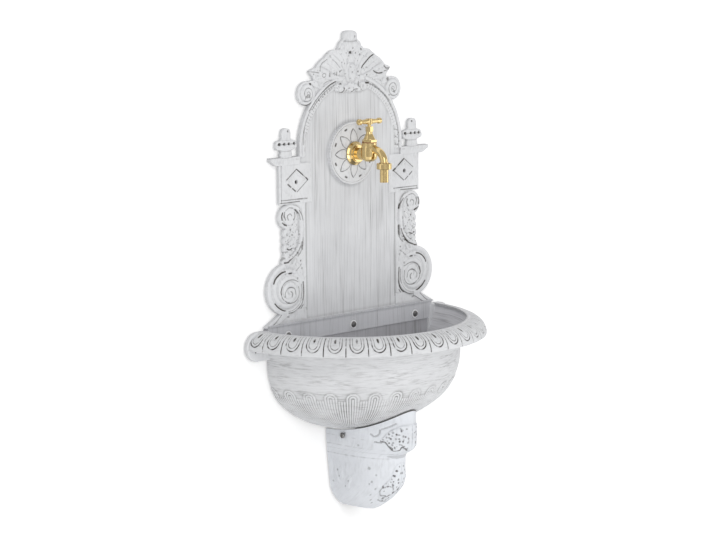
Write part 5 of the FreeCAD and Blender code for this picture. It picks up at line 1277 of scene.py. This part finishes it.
# The little rose in the lower patch, and strokes and dots as those of the panel
CONSOLE_ROSE = (22.5, -501.5)
CONSOLE_STROKES = (
    ([(50, -415), (42, -416), (36, -424), (28.6, -429.5), (20.3, -428.5), (17, -423.5), (12, -425),
      (8, -428.5)], 1.6, 0.7),
    ([(60, -417), (48, -417.5)], 1.3, 0.5),
    ([(66, -405), (60, -408), (53, -404), (51, -397)], 2.4, 0.28),
    ([(48, -395), (38, -391), (26, -385)], 2.2, 0.22),
    ([(33, -493), (35, -500), (32, -507), (26, -510.5), (18, -510)], 1.6, 0.5),
    ([(31, -494), (24, -491.5), (15, -494), (10, -499)], 1.4, 0.35),
    ([(20, -514), (10, -510), (3, -502), (0, -496)], 1.7, 0.6),
    ([(26, -519), (12, -523), (0, -521)], 1.5, 0.35),
)
CONSOLE_DOTS = (
    (10, -466, 2.8, 0.9), (5, -460, 2.4, 0.75), (14, -474, 2.8, 0.9), (2, -471, 2.2, 0.6),
    (20, -484, 2.4, 0.5), (7, -481, 2.4, 0.55), (33, -493, 2.6, 0.8), (24, -488, 1.8, 0.45),
    (27, -501, 2.2, 0.5), (61, -463.5, 3.4, 0.42), (56, -486, 3.0, 0.4), (60, -490, 2.4, 0.3),
    (48, -474, 2.4, 0.22), (46, -498, 2.6, 0.22), (50, -510, 2.6, 0.2), (40, -520, 2.6, 0.3),
    (32, -526, 2.4, 0.4), (114, -409, 2.6, 0.25), (88, -426, 2.6, 0.25),
)


def bumps(r, rng, patch, count, rise):
    """A raised patch strewn with small beads and pits, alike on both sides."""
    reach = polygon_sd(np.abs(r.X), r.Z, patch)
    r.H = np.maximum(r.H, rise * swell(np.clip(-reach / 5, 0, 1)))
    high_x = max(x for x, _ in patch)
    low_z, high_z = min(z for _, z in patch), max(z for _, z in patch)
    for x, z in scatter(rng, count, 0, high_x, low_z, high_z - low_z):
        near_edge = polygon_sd(np.array([x]), np.array([z]), patch)[0] > -2
        on_rose = np.hypot((x - 23) / 12, (z + 502) / 9) < 1
        if near_edge or on_rose:
            continue
        for sign in SIDES:
            r.blob(sign * x, z, 2.7, 2.3, 0, rise + 0.9, rise - 0.8)
            if rng.random() < 0.7:
                r.pit(sign * (x + 2.6), z - 2.0, 1.6 + 0.8 * rng.random(), 0.35 + 0.5 * rng.random())


def console_carving():
    """Shell and leaves on the console, drawn on its unrolled front: X is the way round from the middle."""
    r = Relief("console_plan", -175, 175, -545, -360, 0.7)
    X, Z = r.X, r.Z
    r.H[:] = 0.0
    for z, start, depth in ((-415.5, 53, 1.0), (-430.5, 38, 0.9), (-437, 14, 1.1), (-446, 0, 1.1)):
        moulding = hump((Z - z) / 1.2) * (np.abs(X) > start)
        r.H -= 0.7 * depth * moulding
        r.dark_wash_and_shade += 0.3 * moulding * (0.7 + 0.5 * wobble(X, Z, 33, 16, 1.0))
    rng = np.random.default_rng(7)
    bumps(r, rng, SHELL_PATCH, 120, 2.0)
    bumps(r, rng, SPRAY_PATCH, 90, 1.4)
    for sign in SIDES:
        for half_w, half_h, top, low in ((9.5, 7.5, 2.4, 1.0), (4.0, 3.2, 2.9, 1.6)):
            r.blob(sign * CONSOLE_ROSE[0], CONSOLE_ROSE[1], half_w, half_h, 0, top, low)
    mark(r, CONSOLE_STROKES, CONSOLE_DOTS, 0.6, SIDES)
    pair(r.leaf, [(96, -480), (104, -488), (106, -498), (100, -508)], 5.4, 1.0, 0.0)
    pair(r.leaf, [(118, -466), (122, -478), (120, -492)], 4.8, 0.9, 0.0)
    pair(r.leaf, [(138, -474), (134, -486), (126, -498)], 4.6, 0.9, 0.0)
    leaf_dots = ((130, -474, 2.6, 0.4), (105, -490, 2.6, 0.42), (142, -495, 2.6, 0.3), (112, -500, 2.6, 0.25),
                 (126, -484, 2.6, 0.3))
    mark(r, (), leaf_dots, 0.5, SIDES)
    r.H += wobble(X, Z, 61, 13, 0.12)
    return r


def console_oval(z, inset=0.0):
    """Half width and depth of the console's oval section at each height."""
    heights, widths, depths = np.array(CONSOLE_ROWS, float).T
    return np.interp(-z, -heights, widths) - inset, np.interp(-z, -heights, depths) - inset


def console():
    """The hollow bracket: a stack of half ovals whose top edge follows the bowl."""
    turn = np.linspace(0, math.pi, 361)
    count = len(turn)
    c, s = np.cos(turn)[:, None], np.sin(turn)[:, None]
    carved_wall, crown_z = 4.0, -424
    w, d = console_oval(np.array([-410.0]))
    bowl_r, bowl_z = bowl_profile(3.0, 150)
    top = np.interp(np.hypot(w * np.cos(turn), d * np.sin(turn)), bowl_r[::-1], bowl_z[::-1]) - 0.3
    upper = top[:, None] + (crown_z - top[:, None]) * np.linspace(0, 1, 56)[None, :]
    Z = np.hstack([upper, np.tile(np.linspace(-425.1, -540.5, 106), (count, 1))])
    W, D = console_oval(Z)
    X0, Y0 = W * c, -D * s

    # Way round the front from its middle, stretched to the width of the plan, and the carving there
    plan = console_carving()
    steps = np.hypot(np.diff(X0, axis=0), np.diff(Y0, axis=0))
    walk = np.vstack([np.zeros((1, Z.shape[1])), np.cumsum(steps, axis=0)])
    walk = walk[-1:] / 2 - walk
    stretch = np.minimum(150 / (walk[:1] + 1e-6), 1.25)
    i = np.clip((walk * stretch - plan.x[0]) / plan.pitch, 0, len(plan.x) - 2)
    j = np.clip((Z - plan.z[0]) / plan.pitch, 0, len(plan.z) - 2)
    i, j = np.rint(i).astype(int), np.rint(j).astype(int)
    hollow = (soft_hollow(plan.H, (2, 2), (6, 6)) + plan.dark_wash_and_shade)[i, j]
    # The top rows, in the gap under the bowl, are darkened towards the front as painted shade.
    hollow[:, :2] = 0.25 + 0.85 * smooth((np.sin(turn) - 0.3) / 0.3)[:, None]
    at_wall = np.clip(np.minimum(turn, math.pi - turn) / 0.08, 0, 1)[:, None]
    lift = np.clip((np.clip(plan.H[i, j], -2, 3.4) - 1.6) * at_wall, -4, 0.0)
    nx, ny = c * D, -s * W
    size = np.hypot(nx, ny) + 1e-6
    X1, Y1 = X0 + lift * nx / size, np.minimum(Y0 + lift * ny / size, 0)

    inner = np.concatenate([[-536.0], np.linspace(-531, crown_z, 9)])
    inner_z = np.hstack([np.tile(inner, (count, 1)), top[:, None]])
    k = inner_z.shape[1]
    inner_w, inner_d = console_oval(inner_z, carved_wall)
    rings = np.stack([np.hstack([X1, inner_w * c]), np.hstack([Y1, -inner_d * s]), np.hstack([Z, inner_z])],
                     axis=-1)
    patina = np.hstack([hollow, np.full((count, k), 0.3)])
    grain = np.stack([np.hstack([walk, walk[:, :k]]), 0 * rings[..., 0], rings[..., 2]], axis=-1) * MM
    kinds = np.zeros(rings.shape[1], int)
    return tube("console_carved", rings, kinds, [CONSOLE_LIT_PAINT], patina=patina, grain=grain)


ears = [ear(-1), ear(1)]
ear_hollows = composite(ears, 230, -280, -225)
basin_shown = [(rim(), "basin_rim"), (bowl(), "basin_bowl")]
basin_shown += [(piece.mesh(CARVED_PAINT, ear_hollows), "basin_rim") for piece in ears]
for shown, node in basin_shown:
    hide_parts(node)
back = basin_back()
shown = back.mesh(BACK_SHADED_PAINT, composite([back], 230, -412, -222))
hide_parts("basin_back")
shown = console()
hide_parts("console")


# Tap, screws and waste keep their solids


NODE_MATERIALS = (
    (BRASS, ("tap_body", "tap_escutcheon", "tap_backnut", "tap_bonnet", "gland_nut", "tap_handle",
             "hose_union_nut", "hose_nozzle")),
    (BRASS_INNER, ("spindle", "handle_screw", "jumper_valve", "washer_nut")),
    (STEEL, ("panel_screws", "console_screws", "waste_fitting")),
    (WASHER, ("panel_washers",)),
    (RUBBER, ("waste_gasket", "waste_washer", "valve_washer", "nozzle_washer")),
    (FIBRE, ("tap_back_washer", "bonnet_washer")),
    (PACKING, ("gland_packing",)),
    (PLASTIC, ("waste_locknut",)),
)
for material, names in NODE_MATERIALS:
    for name in names:
        mesh = frame["nodes"][name].data
        mesh.materials.clear()
        mesh.materials.append(material)


# Wall, floor, light and camera, in metres


# The wall just behind the fountain, its bend into the floor, and the sheet's ends
WALL_Y, WALL_TOP, WALL_FOOT = 0.004, 3.0, -0.9
BEND_R, FLOOR_END, SHEET_HALF_W = 0.5, -4.5, 4.0

# Light that the backdrop and the room give back, where 1 is white
BACKDROP_GREY, BACKDROP_GLOW, ROOM_LIGHT = 0.8, 0.46, 0.62

# The photograph's viewpoint, fitted to points measured on it: angles in radians, focal length in its pixels
CAMERA_PLACE = (-2.3172886, -2.4520843, 0.3547680)
CAMERA_YAW, CAMERA_PITCH, CAMERA_ROLL = 0.7612978, 0.1494765, -0.0066797
FOCAL_PIXELS, PHOTO_W_PIXELS, SENSOR_MM = 2100, 716, 36.0


def either(tree, factor, a, b):
    """Shader a where the factor is 0 and b where it is 1."""
    mix = add(tree, "ShaderNodeMixShader")
    for socket, source in zip(mix.inputs, (factor, a, b)):
        tree.links.new(source, socket)
    return mix.outputs[0]


def backdrop_material():
    """White for the camera and in reflections, with the object's own shadow left on it."""
    material, tree = nodes_of("backdrop_white")
    soft = add(tree, "ShaderNodeBsdfDiffuse", in_Color=(BACKDROP_GREY, BACKDROP_GREY, BACKDROP_GREY, 1))
    glow = add(tree, "ShaderNodeEmission", in_Color=(1, 1, 1, 1), in_Strength=BACKDROP_GLOW)
    both = add(tree, "ShaderNodeAddShader")
    tree.links.new(soft.outputs[0], both.inputs[0])
    tree.links.new(glow.outputs[0], both.inputs[1])
    path = add(tree, "ShaderNodeLightPath")
    seen = maths(tree, "ADD", path.outputs["Is Camera Ray"], path.outputs["Is Glossy Ray"], True)
    seen = maths(tree, "ADD", seen, path.outputs["Is Transmission Ray"], True)
    finish_tree(tree, either(tree, seen, soft.outputs[0], both.outputs[0]))
    return material


def backdrop():
    """One sheet: the wall behind, curving into the floor below."""
    bend_y, bend_z = WALL_Y - BEND_R, WALL_FOOT
    section = [(WALL_Y, WALL_TOP), (WALL_Y, WALL_FOOT)]
    section += [(bend_y + BEND_R * math.cos(a), bend_z - BEND_R * math.sin(a))
                for a in np.linspace(0, math.pi / 2, 12)]
    section += [(FLOOR_END, WALL_FOOT - BEND_R)]
    points = [(x, y, z) for x in (-SHEET_HALF_W, SHEET_HALF_W) for y, z in section]
    n = len(section)
    mesh = bpy.data.meshes.new("backdrop")
    mesh.from_pydata(points, [], [(i, i + 1, n + i + 1, n + i) for i in range(n - 1)])
    mesh.shade_smooth()
    mesh.materials.append(backdrop_material())
    obj = bpy.data.objects.new("backdrop", mesh)
    bpy.context.scene.collection.objects.link(obj)


def lamp(name, place, target, size, power):
    """A square soft light that faces a target."""
    light = bpy.data.lights.new(name, "AREA")
    light.shape = "RECTANGLE"
    light.size = light.size_y = size
    light.energy = power
    obj = bpy.data.objects.new(name, light)
    obj.location = place
    obj.rotation_euler = (Vector(target) - Vector(place)).to_track_quat("-Z", "Y").to_euler()
    bpy.context.scene.collection.objects.link(obj)


def world():
    """Even light from the room, and white for the camera."""
    sky = bpy.data.worlds.new("studio")
    sky.use_nodes = True
    tree = sky.node_tree
    tree.nodes.clear()
    path = add(tree, "ShaderNodeLightPath")
    room = add(tree, "ShaderNodeBackground", in_Color=(1, 1, 1, 1), in_Strength=ROOM_LIGHT)
    white = add(tree, "ShaderNodeBackground", in_Color=(1, 1, 1, 1), in_Strength=1.0)
    seen = either(tree, path.outputs["Is Camera Ray"], room.outputs[0], white.outputs[0])
    finish_tree(tree, seen, "ShaderNodeOutputWorld")
    bpy.context.scene.world = sky


def camera():
    """Looks at the fountain as the photograph does."""
    flat = math.cos(CAMERA_PITCH)
    forward = Vector((math.sin(CAMERA_YAW) * flat, math.cos(CAMERA_YAW) * flat, -math.sin(CAMERA_PITCH)))
    level = Vector((math.cos(CAMERA_YAW), -math.sin(CAMERA_YAW), 0))
    upright = level.cross(forward)
    right = math.cos(CAMERA_ROLL) * level + math.sin(CAMERA_ROLL) * upright
    up = -math.sin(CAMERA_ROLL) * level + math.cos(CAMERA_ROLL) * upright
    data = bpy.data.cameras.new("camera")
    data.sensor_width = SENSOR_MM
    data.lens = FOCAL_PIXELS / PHOTO_W_PIXELS * SENSOR_MM
    data.clip_end = 50
    obj = bpy.data.objects.new("camera", data)
    turn = Matrix((right, up, -forward)).transposed()
    obj.matrix_world = Matrix.Translation(Vector(CAMERA_PLACE)) @ turn.to_4x4()
    bpy.context.scene.collection.objects.link(obj)
    bpy.context.scene.camera = obj


backdrop()
lamp("key", (-1.35, -2.75, 0.8), (0, -0.05, -0.2), 2.0, 20.5)
lamp("fill", (2.2, -1.9, 0.0), (0, -0.05, -0.2), 1.6, 11)
lamp("low", (-0.9, -2.1, -1.0), (0, -0.1, -0.5), 1.2, 11)
world()
camera()
bpy.context.scene.view_settings.view_transform = "Standard"
